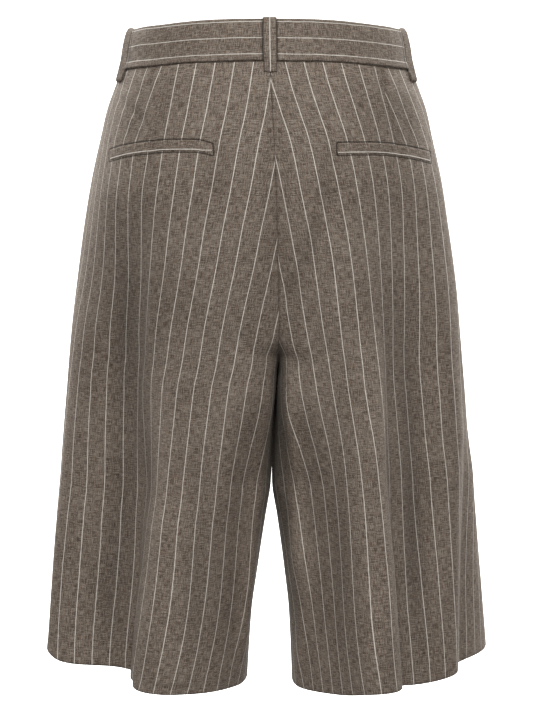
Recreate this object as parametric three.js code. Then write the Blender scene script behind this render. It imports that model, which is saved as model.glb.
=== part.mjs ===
import * as THREE from "three";

// Bermuda shorts with pressed tailored legs, worn shape, no body inside.
// Units are millimetres. Z is up, the front faces -Y and the wearer's left is +X.
// The origin is the middle of the waist opening, level with the top edge at the centre back.

// Driving sizes
const CLOTH = 2;
const SEAM_GAP = 0.3;
const SEAM_BLEND = 45;
const WAISTBAND_HEIGHT = 40.5;
const PANEL_TOP = -(WAISTBAND_HEIGHT + SEAM_GAP);
const LENGTH = 640;
const CROTCH_DEPTH = 318;
const FRONT_WAIST_DROP = 14;
const BELT_WIDTH = 38.5;
const BELT_TOP = -0.8;
const BELT_THICKNESS = 2.4;
const BELT_OUT = 0.4;
const LOOP_WIDTH = 12.5;
const LOOP_THICKNESS = 1.3;
const WELT_HEIGHT = 10.8;
const WELT_THICKNESS = 1.3;
const FLY_WIDTH = 34;
const FLY_LENGTH = 165;

// Horizontal sections, one row per height. half is half the width of both legs together, mid is the
// sideways place of the centre seam. apex is how far out each leg's fullest line lies, wide is the depth
// of its side edge. inner is the inside edge of the leg; where it is below zero the halves are joined.
// The flat columns straighten the quarter curves between those places: 0 is an ellipse, 0.3 a line.
const SECTION_COLUMNS = ["z", "half", "mid", "apexL", "apexR", "wideL", "wideR", "back", "front", "inner",
  "flatL", "flatR", "flatIn", "flatFront", "inseam", "flareR"];
const SECTIONS = [
  [10, 121, -2.5, 6, 6, 0, 0, 83, 84, -150, 0, 0, 0, 0, 0, 0],
  [0, 125, -2.8, 6, 6, 0, 0, 86, 86, -150, 0, 0, 0, 0, 0, 0],
  [-18, 131, -3, 7, 7, 0, 0, 92.5, 88, -150, 0, 0, 0, 0, 0, 0],
  [-38, 135.8, -3.3, 8, 8, -1, -1, 99, 91, -150, 0, 0, 0, 0, 0, 0],
  [-60, 143.8, -4, 10, 10, -5, -3, 105.8, 94, -150, -0.01, 0, 0, 0.02, 0, 0],
  [-85, 153, -5.5, 13, 14, -10, -4, 110.1, 97, -150, -0.01, 0.03, 0, 0.04, 0, 0],
  [-110, 159.2, -7, 18, 20, -16, -5, 113.5, 99, -145, -0.01, 0.06, 0.26, 0.05, 0, -0.5],
  [-155, 169.8, -8.9, 27, 30, -25, -5, 116.4, 100, -132, -0.01, 0.1, 0.26, 0.07, 4, -1],
  [-200, 177.9, -10.1, 37, 40, -30, -4, 115.3, 100, -110, 0.05, 0.16, 0.18, 0.08, 8, -2],
  [-250, 185, -11.2, 45, 50, -34, -1, 112.2, 98, -70, 0.12, 0.21, 0.07, 0.1, 12, -2],
  [-295, 190.6, -11.8, 52, 59, -32, -3, 107.2, 96, -24, 0.19, 0.24, -0.07, 0.1, 15, -2.5],
  [-318, 192.8, -11.6, 55, 64, -31, -4, 105.2, 95, 0.2, 0.23, 0.26, -0.16, 0.1, 16, -2],
  [-345, 195, -10, 59, 70, -30, -4, 103.2, 94, 0.4, 0.27, 0.27, -0.17, 0.1, 16, -1],
  [-410, 200.2, -6, 63, 84, -22, -15, 101.5, 92, 0.8, 0.38, 0.27, 0.02, 0.1, 14, 1.5],
  [-445, 202.8, -4.8, 65, 90, -16, -20, 100.6, 92, 1.5, 0.44, 0.27, 0.1, 0.1, 12, 3.5],
  [-480, 206.2, -4.6, 71, 95, -9, -28, 100.9, 92, 6.8, 0.48, 0.25, 0.09, 0.1, 10, 3],
  [-527, 210.3, -4.2, 79, 101, 0, -37, 101.3, 92, 13.6, 0.54, 0.22, 0.07, 0.1, 8, 3],
  [-573, 214.4, -3.6, 85, 105, 6, -44, 101.6, 92, 19.4, 0.56, 0.19, 0.04, 0.1, 6, 3],
  [-650, 220.3, -2.9, 94, 111, 16, -54, 103.1, 92, 23.5, 0.59, 0.15, 0, 0.1, 5, 3],
];

// Folds that run down the legs, one row each. The cloth steps down by twice step and laps back over
// itself by twice lap. xTop and xHem are distances out from the centre seam.
const TUCKS = [
  { name: "back left", side: 1, face: 1, xTop: 120, xHem: 145, zTop: -190, zHem: -640,
    zStart: -99, zFull: -266, step: 4.6, lap: 0.6, crease: 10.7, reach: 33 },
  { name: "back right", side: -1, face: 1, xTop: 84, xHem: 122, zTop: -200, zHem: -640,
    zStart: -182, zFull: -587, step: 26.6, lap: 0.0, crease: 17.5, reach: 48 },
  { name: "back right side", side: -1, face: 1, xTop: 184, xHem: 183, zTop: -290, zHem: -640,
    zStart: -230, zFull: -561, step: 11.1, lap: 0.0, crease: 11.4, reach: 46 },
  { name: "back left low", side: 1, face: 1, xTop: 123, xHem: 128, zTop: -430, zHem: -640,
    zStart: -370, zFull: -560, step: 8, lap: 0, crease: 13, reach: 36 },
  { name: "back right low", side: -1, face: 1, xTop: 119, xHem: 131, zTop: -430, zHem: -640,
    zStart: -390, zFull: -560, step: 5, lap: 2, crease: 8, reach: 24 },
  { name: "front left", side: 1, face: -1, xTop: 78, xHem: 112, zTop: -60, zHem: -640,
    zStart: -60, zFull: -420, step: 11, lap: 5, crease: 6.5, reach: 30 },
  { name: "front right", side: -1, face: -1, xTop: 80, xHem: 118, zTop: -60, zHem: -640,
    zStart: -60, zFull: -440, step: 12, lap: 5, crease: 6.5, reach: 30 },
];

const PANEL_COLUMNS = 33;
// Rows of a panel from the waist seam to the hem: the height away from the centre, and at the seam edge,
// where the rows close up along the seat seam, meet the crotch point and then follow the inseam
const LEVEL_COLUMNS = ["away", "edge"];
const LEVELS = [
  [PANEL_TOP, PANEL_TOP], [-62, -62], [-85, -85], [-112, -111], [-145, -142], [-180, -173],
  [-212, -202], [-242, -229], [-270, -254], [-296, -276], [-320, -293], [-342, -304.5],
  [-362, -312], [-382, -316.3], [-402, -CROTCH_DEPTH], [-424, -345], [-448, -382], [-475, -425],
  [-505, -470], [-535, -512], [-565, -550], [-592, -584], [-618, -615], [-LENGTH, -LENGTH],
];

function monotoneSlopes(xs, ys) {
  const n = xs.length;
  const steps = [];
  for (let i = 0; i < n - 1; i += 1) {
    steps.push((ys[i + 1] - ys[i]) / (xs[i + 1] - xs[i]));
  }
  const slopes = [steps[0]];
  for (let i = 1; i < n - 1; i += 1) {
    const same = steps[i - 1] * steps[i] > 0;
    slopes.push(same ? 2 * steps[i - 1] * steps[i] / (steps[i - 1] + steps[i]) : 0);
  }
  slopes.push(steps[n - 2]);
  return slopes;
}

const DEPTHS = SECTIONS.map((row) => -row[0]);
const CURVES = {};
SECTION_COLUMNS.forEach((name, i) => {
  const values = SECTIONS.map((row) => row[i]);
  CURVES[name] = { values, slopes: monotoneSlopes(DEPTHS, values) };
});

function column(name, z) {
  const last = DEPTHS.length - 1;
  const depth = Math.min(Math.max(-z, DEPTHS[0]), DEPTHS[last]);
  let k = 0;
  while (k < last - 1 && depth > DEPTHS[k + 1]) k += 1;
  const h = DEPTHS[k + 1] - DEPTHS[k];
  const t = (depth - DEPTHS[k]) / h;
  const { values, slopes } = CURVES[name];
  const t2 = t * t;
  const t3 = t2 * t;
  return values[k] * (2 * t3 - 3 * t2 + 1) + slopes[k] * h * (t3 - 2 * t2 + t)
    + values[k + 1] * (3 * t2 - 2 * t3) + slopes[k + 1] * h * (t3 - t2);
}

function smooth(x) {
  const t = Math.min(Math.max(x, 0), 1);
  return t * t * (3 - 2 * t);
}

// Sizes of one half at height z; distances run outwards from the centre seam.
function halfSizes(side, z) {
  const mid = column("mid", z);
  const left = side > 0;
  return {
    mid,
    outer: column("half", z) - side * mid + (left ? 0 : column("flareR", z)),
    apex: column(left ? "apexL" : "apexR", z),
    wide: column(left ? "wideL" : "wideR", z),
    flat: column(left ? "flatL" : "flatR", z),
    flatIn: column("flatIn", z),
    flatFront: column("flatFront", z),
    inseam: column("inseam", z),
    back: column("back", z),
    front: column("front", z),
    inner: column("inner", z),
  };
}

// A section goes round one leg: angle 0 is the inside, a quarter turn the back, a half turn the side
// and three quarters the front.
function legSection(side, angle, z) {
  const h = halfSizes(side, z);
  const c = Math.cos(angle);
  const s = Math.sin(angle);
  const isBack = s >= 0;
  const flat = c > 0 ? h.flatIn : (isBack ? h.flat : h.flatFront);
  const pull = 1 - flat * Math.sin(2 * angle) ** 2;
  const base = c > 0 ? h.wide + (h.inseam - h.wide) * smooth(c) : h.wide;
  const y = isBack ? base + (h.back - base) * s * pull : base + (h.front + base) * s * pull;
  const reach = c > 0 ? h.apex - h.inner : h.outer - h.apex;
  const x = h.apex - reach * c * pull;
  return [h.mid + side * x, y];
}

// Angle where one half's section meets the centre seam, and the depth there at the back and the front
const seamPlaces = new Map();

function seamPlace(side, z) {
  const key = `${side} ${z}`;
  if (seamPlaces.has(key)) return seamPlaces.get(key);
  const h = halfSizes(side, z);
  let low = 0;
  let high = h.inner >= 0 ? 0 : Math.PI / 2;
  for (let i = 0; i < 40; i += 1) {
    const angle = (low + high) / 2;
    if (side * (legSection(side, angle, z)[0] - h.mid) < 0) low = angle;
    else high = angle;
  }
  const angle = (low + high) / 2;
  const place = { angle, back: legSection(side, angle, z)[1], front: legSection(side, -angle, z)[1] };
  seamPlaces.set(key, place);
  return place;
}

function startAngle(side, z) {
  return seamPlace(side, z).angle;
}

// The two halves differ a little, so each bends towards the other near the centre seam and they meet.
function sectionPoint(side, angle, z) {
  const [x, y] = legSection(side, angle, z);
  const here = seamPlace(side, z);
  if (here.angle === 0) return [x, y];
  const other = seamPlace(-side, z);
  const step = Math.sin(angle) >= 0 ? (other.back - here.back) / 2 : (other.front - here.front) / 2;
  const out = side * (x - column("mid", z));
  return [x, y + step * Math.exp(-((out / SEAM_BLEND) ** 2))];
}

// Middle angle of a tuck at height z, and how many mm of cloth one radian covers there
const tuckPlaces = new Map();

function tuckPlace(tuck, z) {
  const key = `${tuck.name} ${z}`;
  if (tuckPlaces.has(key)) return tuckPlaces.get(key);
  const mid = column("mid", z);
  const k = Math.min(Math.max((tuck.zTop - z) / (tuck.zTop - tuck.zHem), 0), 1);
  const x = tuck.xTop + (tuck.xHem - tuck.xTop) * k;
  let low = Math.PI / 2;
  let high = Math.PI - 0.24;
  for (let i = 0; i < 30; i += 1) {
    const trial = (low + high) / 2;
    if (distanceOut(tuck.side, tuck.face * trial, z, mid) < x) low = trial;
    else high = trial;
  }
  const middle = (low + high) / 2;
  const angle = tuck.face > 0 ? middle : 2 * Math.PI - middle;
  const place = { angle, scale: arcScale(tuck.side, angle, z) };
  tuckPlaces.set(key, place);
  return place;
}

function distanceOut(side, angle, z, mid) {
  return side * (sectionPoint(side, angle, z)[0] - mid);
}

function arcScale(side, angle, z) {
  const e = 1e-3;
  const a = sectionPoint(side, angle + e, z);
  const b = sectionPoint(side, angle - e, z);
  return Math.hypot(a[0] - b[0], a[1] - b[1]) / (2 * e);
}

function clothPoint(side, angle, z) {
  const e = 1e-3;
  const [x, y] = sectionPoint(side, angle, z);
  const [xa, ya] = sectionPoint(side, angle + e, z);
  const [xb, yb] = sectionPoint(side, angle - e, z);
  const length = Math.hypot(xa - xb, ya - yb);
  const tx = (xa - xb) / length;
  const ty = (ya - yb) / length;
  const nx = -ty * side;
  const ny = tx * side;
  let px = x;
  let py = y;
  for (const tuck of TUCKS) {
    if (tuck.side !== side) continue;
    const amount = smooth((tuck.zStart - z) / (tuck.zStart - tuck.zFull));
    if (amount === 0) continue;
    const place = tuckPlace(tuck, z);
    const arc = (angle - place.angle) * place.scale * tuck.face;
    const shape = Math.tanh(arc / tuck.crease) * Math.exp(-((arc / tuck.reach) ** 2)) * amount;
    px -= shape * (tuck.step * nx + tuck.lap * tx * tuck.face);
    py -= shape * (tuck.step * ny + tuck.lap * ty * tuck.face);
  }
  return new THREE.Vector3(px, py, z);
}

function clothNormal(side, angle, z) {
  const e = 2e-3;
  const along = clothPoint(side, angle + e, z).sub(clothPoint(side, angle - e, z));
  const up = clothPoint(side, angle, z + 0.5).sub(clothPoint(side, angle, z - 0.5));
  return up.cross(along).multiplyScalar(side).normalize();
}

function clothTangent(side, angle, z) {
  const e = 2e-3;
  return clothPoint(side, angle + e, z).sub(clothPoint(side, angle - e, z)).normalize();
}

function offsetPoint(side, angle, z, out) {
  return clothPoint(side, angle, z).addScaledVector(clothNormal(side, angle, z), out);
}

// The waist edge drops towards the front; the hem rises at the side seams.
function waistDrop(angle) {
  return -FRONT_WAIST_DROP * (1 - Math.sin(angle)) / 2;
}

function hemRise(side, angle) {
  const s = Math.sin(angle);
  const c = Math.cos(angle);
  const away = c < 0 ? 1 : -0.3;
  return 3 + (side > 0 ? 12 : 17) * (1 - s * s) * away + (s < 0 ? 6 * s * s : 0);
}

function levelZ(side, level, angle) {
  const top = 1 - smooth((-level - WAISTBAND_HEIGHT) / 190);
  const bottom = smooth((-level - 480) / 160);
  return level + waistDrop(angle) * top + hemRise(side, angle) * bottom;
}

// 1 at the seam edge of a panel, 0 from the leg's fullest line outwards
function edgeShare(angle, start) {
  const turn = angle > Math.PI ? 2 * Math.PI - angle : angle;
  const share = (Math.PI / 2 - turn) / Math.max(Math.PI / 2 - start, 1e-6);
  return Math.min(Math.max(share, 0), 1) ** 1.3;
}

// Column angles of one panel at one height, evenly spaced along the cloth but closer at the tucks
function panelAngles(side, face, level, edge) {
  const start = startAngle(side, edge);
  const from = face > 0 ? start : Math.PI;
  const to = face > 0 ? Math.PI : 2 * Math.PI - start;
  const tucks = TUCKS.filter((t) => t.side === side && t.face === face);
  const total = [0];
  for (let i = 1; i <= 160; i += 1) {
    const angle = from + (to - from) * (i - 0.5) / 160;
    let weight = 1;
    for (const tuck of tucks) {
      const place = tuckPlace(tuck, level);
      weight += 2.2 * Math.exp(-(((angle - place.angle) * place.scale / (tuck.crease * 1.8)) ** 2));
    }
    total.push(total[i - 1] + weight * arcScale(side, angle, level));
  }
  const angles = [from];
  let k = 0;
  for (let i = 1; i < PANEL_COLUMNS; i += 1) {
    const want = total[160] * i / PANEL_COLUMNS;
    while (total[k + 1] < want) k += 1;
    const part = (want - total[k]) / (total[k + 1] - total[k]);
    angles.push(from + (to - from) * (k + part) / 160);
  }
  angles.push(to);
  return angles;
}

// Closed wall from two equal grids of points, outer and inner
function wall(outer, inner, flip) {
  const rows = outer.length;
  const cols = outer[0].length;
  const positions = [];
  for (const grid of [outer, inner]) {
    for (const row of grid) for (const p of row) positions.push(p.x, p.y, p.z);
  }
  const index = [];
  const id = (layer, r, c) => layer * rows * cols + r * cols + c;
  const quad = (a, b, c, d) => {
    if (flip) index.push(a, c, b, a, d, c);
    else index.push(a, b, c, a, c, d);
  };
  for (let r = 0; r < rows - 1; r += 1) {
    for (let c = 0; c < cols - 1; c += 1) {
      quad(id(0, r, c), id(0, r, c + 1), id(0, r + 1, c + 1), id(0, r + 1, c));
      quad(id(1, r, c), id(1, r + 1, c), id(1, r + 1, c + 1), id(1, r, c + 1));
    }
  }
  for (let c = 0; c < cols - 1; c += 1) {
    quad(id(0, 0, c), id(1, 0, c), id(1, 0, c + 1), id(0, 0, c + 1));
    quad(id(0, rows - 1, c), id(0, rows - 1, c + 1), id(1, rows - 1, c + 1), id(1, rows - 1, c));
  }
  for (let r = 0; r < rows - 1; r += 1) {
    quad(id(0, r, 0), id(0, r + 1, 0), id(1, r + 1, 0), id(1, r, 0));
    quad(id(0, r, cols - 1), id(1, r, cols - 1), id(1, r + 1, cols - 1), id(0, r + 1, cols - 1));
  }
  const geometry = new THREE.BufferGeometry();
  geometry.setAttribute("position", new THREE.Float32BufferAttribute(positions, 3));
  geometry.setIndex(index);
  geometry.computeVertexNormals();
  return geometry;
}

// Ring wall: the last column joins the first
function ringWall(outer, inner, flip) {
  const rows = outer.length;
  const cols = outer[0].length;
  const positions = [];
  for (const grid of [outer, inner]) {
    for (const row of grid) for (const p of row) positions.push(p.x, p.y, p.z);
  }
  const index = [];
  const id = (layer, r, c) => layer * rows * cols + r * cols + (c % cols);
  const quad = (a, b, c, d) => {
    if (flip) index.push(a, c, b, a, d, c);
    else index.push(a, b, c, a, c, d);
  };
  for (let c = 0; c < cols; c += 1) {
    for (let r = 0; r < rows - 1; r += 1) {
      quad(id(0, r, c), id(0, r, c + 1), id(0, r + 1, c + 1), id(0, r + 1, c));
      quad(id(1, r, c), id(1, r + 1, c), id(1, r + 1, c + 1), id(1, r, c + 1));
    }
    quad(id(0, 0, c), id(1, 0, c), id(1, 0, c + 1), id(0, 0, c + 1));
    quad(id(0, rows - 1, c), id(0, rows - 1, c + 1), id(1, rows - 1, c + 1), id(1, rows - 1, c));
  }
  const geometry = new THREE.BufferGeometry();
  geometry.setAttribute("position", new THREE.Float32BufferAttribute(positions, 3));
  geometry.setIndex(index);
  geometry.computeVertexNormals();
  return geometry;
}

// Keeps a point of one half on its own side of the centre seam
function keepSide(point, side, z) {
  const mid = column("mid", z);
  const limit = SEAM_GAP / 2;
  if (side * (point.x - mid) < limit) point.x = mid + side * limit;
  return point;
}

function legPanel(side, face) {
  const outer = [];
  const inner = [];
  for (const [level, edge] of LEVELS) {
    const outerRow = [];
    const innerRow = [];
    const angles = panelAngles(side, face, level, edge);
    angles.forEach((angle, i) => {
      const z = levelZ(side, level, angle) + (edge - level) * edgeShare(angle, startAngle(side, edge));
      const surface = clothPoint(side, angle, z);
      const hidden = offsetPoint(side, angle, z, -CLOTH);
      const atSide = face > 0 ? i === angles.length - 1 : i === 0;
      const atMiddle = face > 0 ? i === 0 : i === angles.length - 1;
      for (const p of [surface, hidden]) {
        if (atSide) p.addScaledVector(clothTangent(side, angle, z), -face * SEAM_GAP / 2);
        if (atMiddle && edge <= -CROTCH_DEPTH) p.y = column("inseam", z) + face * SEAM_GAP / 2;
        if (atMiddle && edge > -CROTCH_DEPTH) p.x = column("mid", z) + side * SEAM_GAP / 2;
        keepSide(p, side, z);
      }
      outerRow.push(surface);
      innerRow.push(hidden);
    });
    outer.push(outerRow);
    inner.push(innerRow);
  }
  return wall(outer, inner, side < 0);
}

function waistbandHalf(side) {
  const outer = [];
  const inner = [];
  const columns = 36;
  for (const depth of [0, 12, 24, 36, WAISTBAND_HEIGHT]) {
    const outerRow = [];
    const innerRow = [];
    const start = startAngle(side, -depth);
    for (let i = 0; i <= columns; i += 1) {
      const angle = start + (2 * Math.PI - 2 * start) * i / columns;
      const z = -depth + waistDrop(angle);
      const surface = clothPoint(side, angle, z);
      const hidden = offsetPoint(side, angle, z, -CLOTH);
      for (const p of [surface, hidden]) {
        if (i === 0 || i === columns) p.x = column("mid", z) + side * SEAM_GAP / 2;
        keepSide(p, side, z);
      }
      hidden.z = surface.z;
      outerRow.push(surface);
      innerRow.push(hidden);
    }
    outer.push(outerRow);
    inner.push(innerRow);
  }
  return wall(outer, inner, side < 0);
}

// Angles right round the waist as pairs of side and angle, starting at the centre back
function waistRound(count, z) {
  const round = [];
  for (const side of [1, -1]) {
    const start = startAngle(side, z);
    for (let i = 0; i < count; i += 1) {
      const k = side > 0 ? i / count : 1 - i / count;
      round.push([side, start + (2 * Math.PI - 2 * start) * k]);
    }
  }
  return round;
}

function beltRing() {
  const outer = [];
  const inner = [];
  for (const k of [0, 0.33, 0.67, 1]) {
    const depth = BELT_TOP - BELT_WIDTH * k;
    const outerRow = [];
    const innerRow = [];
    for (const [side, angle] of waistRound(36, depth)) {
      const z = depth + waistDrop(angle);
      const near = offsetPoint(side, angle, z, BELT_OUT);
      const far = offsetPoint(side, angle, z, BELT_OUT + BELT_THICKNESS);
      near.z = z;
      far.z = z;
      outerRow.push(far);
      innerRow.push(near);
    }
    outer.push(outerRow);
    inner.push(innerRow);
  }
  return ringWall(outer, inner, false);
}

// Strip that stands out from the waist along a path of height and distance out, flat across its width
function standingStrip(side, angleAt, path, thickness, width) {
  const outer = [];
  const inner = [];
  path.forEach(([level, out], i) => {
    const angle = angleAt(level);
    const z = level + waistDrop(angle);
    const before = path[Math.max(i - 1, 0)];
    const after = path[Math.min(i + 1, path.length - 1)];
    const base = clothPoint(side, angle, z);
    const e = 0.01;
    const along = clothPoint(side, angle + e, z).sub(clothPoint(side, angle - e, z)).normalize();
    const away = new THREE.Vector3(-along.y * side, along.x * side, 0);
    const a = clothPoint(side, angleAt(before[0]), before[0]).dot(away) + before[1];
    const b = clothPoint(side, angleAt(after[0]), after[0]).dot(away) + after[1];
    const face = new THREE.Vector2(before[0] - after[0], b - a).normalize();
    const centre = base.addScaledVector(away, out);
    const outerRow = [];
    const innerRow = [];
    for (const w of [-width / 2, 0, width / 2]) {
      const p = centre.clone().addScaledVector(along, w * side);
      const q = p.clone().addScaledVector(away, -thickness * face.x);
      q.z -= thickness * face.y;
      outerRow.push(p);
      innerRow.push(q);
    }
    outer.push(outerRow);
    inner.push(innerRow);
  });
  return wall(outer, inner, false);
}

const LOOP_OUT = BELT_OUT + BELT_THICKNESS + SEAM_GAP + LOOP_THICKNESS;

function beltLoop(side, angleAt, extra) {
  const foot = BELT_TOP - BELT_WIDTH - 11.5 - extra * 4;
  const path = [
    [1.9, -0.2], [2.2, LOOP_OUT - 1.2], [0.2, LOOP_OUT + extra], [-20, LOOP_OUT + extra + 0.4],
    [BELT_TOP - BELT_WIDTH - 0.5, LOOP_OUT + extra], [foot + 5, 2.6 + extra], [foot, 1.9],
  ];
  return standingStrip(side, angleAt, path, LOOP_THICKNESS, LOOP_WIDTH);
}

// Angle of the place on one face that lies x out from the centre seam
function angleAtX(side, face, x, z) {
  const mid = column("mid", z);
  let low = face > 0 ? startAngle(side, z) : Math.PI;
  let high = face > 0 ? Math.PI : 2 * Math.PI - startAngle(side, z);
  for (let i = 0; i < 40; i += 1) {
    const angle = (low + high) / 2;
    const here = distanceOut(side, angle, z, mid);
    const further = face > 0 ? here < x : here > x;
    if (further) low = angle;
    else high = angle;
  }
  return (low + high) / 2;
}

// Patch that lies on the cloth: its own rows and columns, moved out from the panel's surface
function patch(side, face, columns, rows, edges, inset, thickness) {
  const outer = [];
  const inner = [];
  for (let r = 0; r <= rows; r += 1) {
    const outerRow = [];
    const innerRow = [];
    for (let c = 0; c <= columns; c += 1) {
      const { x, z } = edges(c / columns, r / rows);
      const angle = angleAtX(side, face, x, z);
      innerRow.push(offsetPoint(side, angle, z, inset));
      outerRow.push(offsetPoint(side, angle, z, inset + thickness));
    }
    outer.push(outerRow);
    inner.push(innerRow);
  }
  return wall(outer, inner, side * face < 0);
}

// Height of a welt's top edge, from its inner end to its outer one
function weltTop(side, k) {
  if (side < 0) return -115.2 - 10 * (Math.max(0, k - 0.3) / 0.7) ** 2;
  return -112.4 - 3.6 * (Math.max(0, 0.2 - k) / 0.2) ** 2 - 10.6 * (Math.max(0, k - 0.2) / 0.8) ** 2.6;
}

function backWelt(side) {
  const inner = side > 0 ? 57 : 58;
  const outer = side > 0 ? 156 : 148;
  const edges = (k, v) => ({ x: inner + (outer - inner) * k, z: weltTop(side, k) - WELT_HEIGHT * v });
  return patch(side, 1, 16, 2, edges, SEAM_GAP, WELT_THICKNESS);
}

function flyLap() {
  const edges = (k, v) => {
    const z = PANEL_TOP - FRONT_WAIST_DROP - 1 - FLY_LENGTH * v;
    const width = FLY_WIDTH * Math.sqrt(Math.max(1 - smooth((v - 0.7) / 0.3) ** 2 * 0.92, 0));
    return { x: 1 + width * k, z };
  };
  return patch(1, -1, 5, 16, edges, SEAM_GAP, 1.2);
}

// Belt end lying over the front of the belt
function beltEnd() {
  const out = BELT_OUT + BELT_THICKNESS + SEAM_GAP;
  const edges = (k, v) => {
    const tip = v === 0 || v === 1 ? 6 : 0;
    const x = 3 + (68 - tip) * k;
    return { x, z: BELT_TOP - 1 - (BELT_WIDTH - 2) * v - FRONT_WAIST_DROP + 0.4 };
  };
  return patch(1, -1, 12, 4, edges, out, 2);
}

// Plain rectangular slide over the belt end
function buckle() {
  const height = BELT_WIDTH + 11.5;
  const width = 46;
  const bar = 6;
  const shape = new THREE.Shape();
  shape.moveTo(-width / 2, -height / 2);
  shape.lineTo(width / 2, -height / 2);
  shape.lineTo(width / 2, height / 2);
  shape.lineTo(-width / 2, height / 2);
  shape.closePath();
  const hole = new THREE.Path();
  hole.moveTo(-width / 2 + bar, -height / 2 + bar);
  hole.lineTo(-width / 2 + bar, height / 2 - bar);
  hole.lineTo(width / 2 - bar, height / 2 - bar);
  hole.lineTo(width / 2 - bar, -height / 2 + bar);
  hole.closePath();
  shape.holes.push(hole);
  const geometry = new THREE.ExtrudeGeometry(shape, { depth: 3, bevelEnabled: false });
  geometry.rotateX(Math.PI / 2);
  const centreZ = BELT_TOP - BELT_WIDTH / 2 - FRONT_WAIST_DROP;
  const mid = column("mid", centreZ);
  const lean = Math.atan2(column("front", centreZ - 20) - column("front", centreZ + 20), 40);
  geometry.rotateX(-lean);
  const front = column("front", centreZ) + BELT_OUT + BELT_THICKNESS + 2 + 2 * SEAM_GAP;
  geometry.translate(mid, -front - 0.4, centreZ);
  return geometry;
}

const group = new THREE.Group();
const cloth = new THREE.MeshStandardMaterial({ color: 0x6b5f55, roughness: 0.95 });
const trim = new THREE.MeshStandardMaterial({ color: 0x71665b, roughness: 0.9 });

function add(name, geometry, material) {
  const mesh = new THREE.Mesh(geometry, material);
  mesh.name = name;
  group.add(mesh);
}

add("back_left", legPanel(1, 1), cloth);
add("back_right", legPanel(-1, 1), cloth);
add("front_left", legPanel(1, -1), cloth);
add("front_right", legPanel(-1, -1), cloth);
add("waistband_left", waistbandHalf(1), cloth);
add("waistband_right", waistbandHalf(-1), cloth);
add("belt", beltRing(), trim);
add("belt_end", beltEnd(), trim);
add("buckle", buckle(), trim);
add("loop_back", beltLoop(1, (z) => startAngle(1, z), 0), trim);
add("loop_side_left", beltLoop(1, () => Math.PI - 0.17, 1.5), trim);
add("loop_side_right", beltLoop(-1, () => Math.PI - 0.17, 1.5), trim);
add("loop_front_left", beltLoop(1, (z) => angleAtX(1, -1, 88, z), 0), trim);
add("loop_front_right", beltLoop(-1, (z) => angleAtX(-1, -1, 82, z), 0), trim);
add("welt_back_left", backWelt(1), trim);
add("welt_back_right", backWelt(-1), trim);
add("fly_lap", flyLap(), cloth);

export default group;
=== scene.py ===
# %% [markdown]
# # Pinstriped bermuda shorts, seen from the back
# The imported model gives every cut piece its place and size. This lesson replaces each plain solid by
# real-looking cloth: thin shells on the same surface, with folds, seams, turned edges and a woven stripe.
# Sizes are written in millimetres and turned to metres only when a mesh is made.

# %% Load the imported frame
import math

import bmesh
import bpy
import numpy as np
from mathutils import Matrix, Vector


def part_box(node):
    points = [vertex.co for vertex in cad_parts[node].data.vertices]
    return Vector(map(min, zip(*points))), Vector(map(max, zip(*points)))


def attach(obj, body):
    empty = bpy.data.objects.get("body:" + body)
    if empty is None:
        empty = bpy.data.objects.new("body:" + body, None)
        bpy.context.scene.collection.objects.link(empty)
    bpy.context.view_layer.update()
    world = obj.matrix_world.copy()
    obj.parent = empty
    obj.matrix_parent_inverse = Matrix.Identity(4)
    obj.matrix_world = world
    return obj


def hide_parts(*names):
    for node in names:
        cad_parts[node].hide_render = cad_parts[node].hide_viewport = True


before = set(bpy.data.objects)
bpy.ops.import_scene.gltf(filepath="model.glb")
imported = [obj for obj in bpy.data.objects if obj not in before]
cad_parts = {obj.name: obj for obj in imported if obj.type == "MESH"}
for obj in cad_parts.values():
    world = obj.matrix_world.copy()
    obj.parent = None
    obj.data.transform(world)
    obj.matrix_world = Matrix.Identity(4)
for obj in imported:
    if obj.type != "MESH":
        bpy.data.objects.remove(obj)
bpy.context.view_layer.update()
MM = 0.001
FINE = 1.0

# %% [markdown]
# ## The camera and the studio
# The garment is seen square from the back, from 2.4 m away and a little above, with a long lens. The
# studio is a white sweep: a floor that curves up into a wall, so no edge shows behind the garment. It
# could be a plane and a separate wall, but the join would show as a line.

# %% Camera
CAMERA_DISTANCE = 2400
CAMERA_HEIGHT = -76
CAMERA_PITCH = math.radians(5.9)
CAMERA_LENS = 125.1

camera_data = bpy.data.cameras.new("back_view")
camera_data.lens = CAMERA_LENS
camera_data.sensor_width = 36
camera_data.clip_end = 50
bpy.context.scene.view_settings.view_transform = "Standard"
camera = bpy.data.objects.new("back_view", camera_data)
camera.location = (0, CAMERA_DISTANCE * MM, CAMERA_HEIGHT * MM)
camera.rotation_euler = (math.pi / 2 - CAMERA_PITCH, 0, math.pi)
bpy.context.collection.objects.link(camera)
bpy.context.scene.camera = camera
print("camera lens", CAMERA_LENS, "mm at", CAMERA_DISTANCE, "mm")


# %% Colour, node and mesh helpers
def hex_colour(code):
    """An sRGB hex value as the linear colour that a shader takes."""
    channels = [int(code[i:i + 2], 16) / 255 for i in (1, 3, 5)]
    linear = [c / 12.92 if c <= 0.04045 else ((c + 0.055) / 1.055) ** 2.4 for c in channels]
    return (*linear, 1.0)


def add_node(tree, kind, inputs=None, **settings):
    """Adds one node, sets its options, and gives each input a number or a link."""
    made = tree.nodes.new(kind)
    for name, value in settings.items():
        setattr(made, name, value)
    for key, value in (inputs or {}).items():
        if isinstance(value, bpy.types.NodeSocket):
            tree.links.new(value, made.inputs[key])
        else:
            made.inputs[key].default_value = value
    return made


def new_material(name):
    """A material with an empty node tree, its principled shader and its output."""
    material = bpy.data.materials.new(name)
    material.use_nodes = True
    tree = material.node_tree
    tree.nodes.clear()
    shader = tree.nodes.new("ShaderNodeBsdfPrincipled")
    add_node(tree, "ShaderNodeOutputMaterial", {"Surface": shader.outputs["BSDF"]})
    return material, tree, shader


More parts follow.
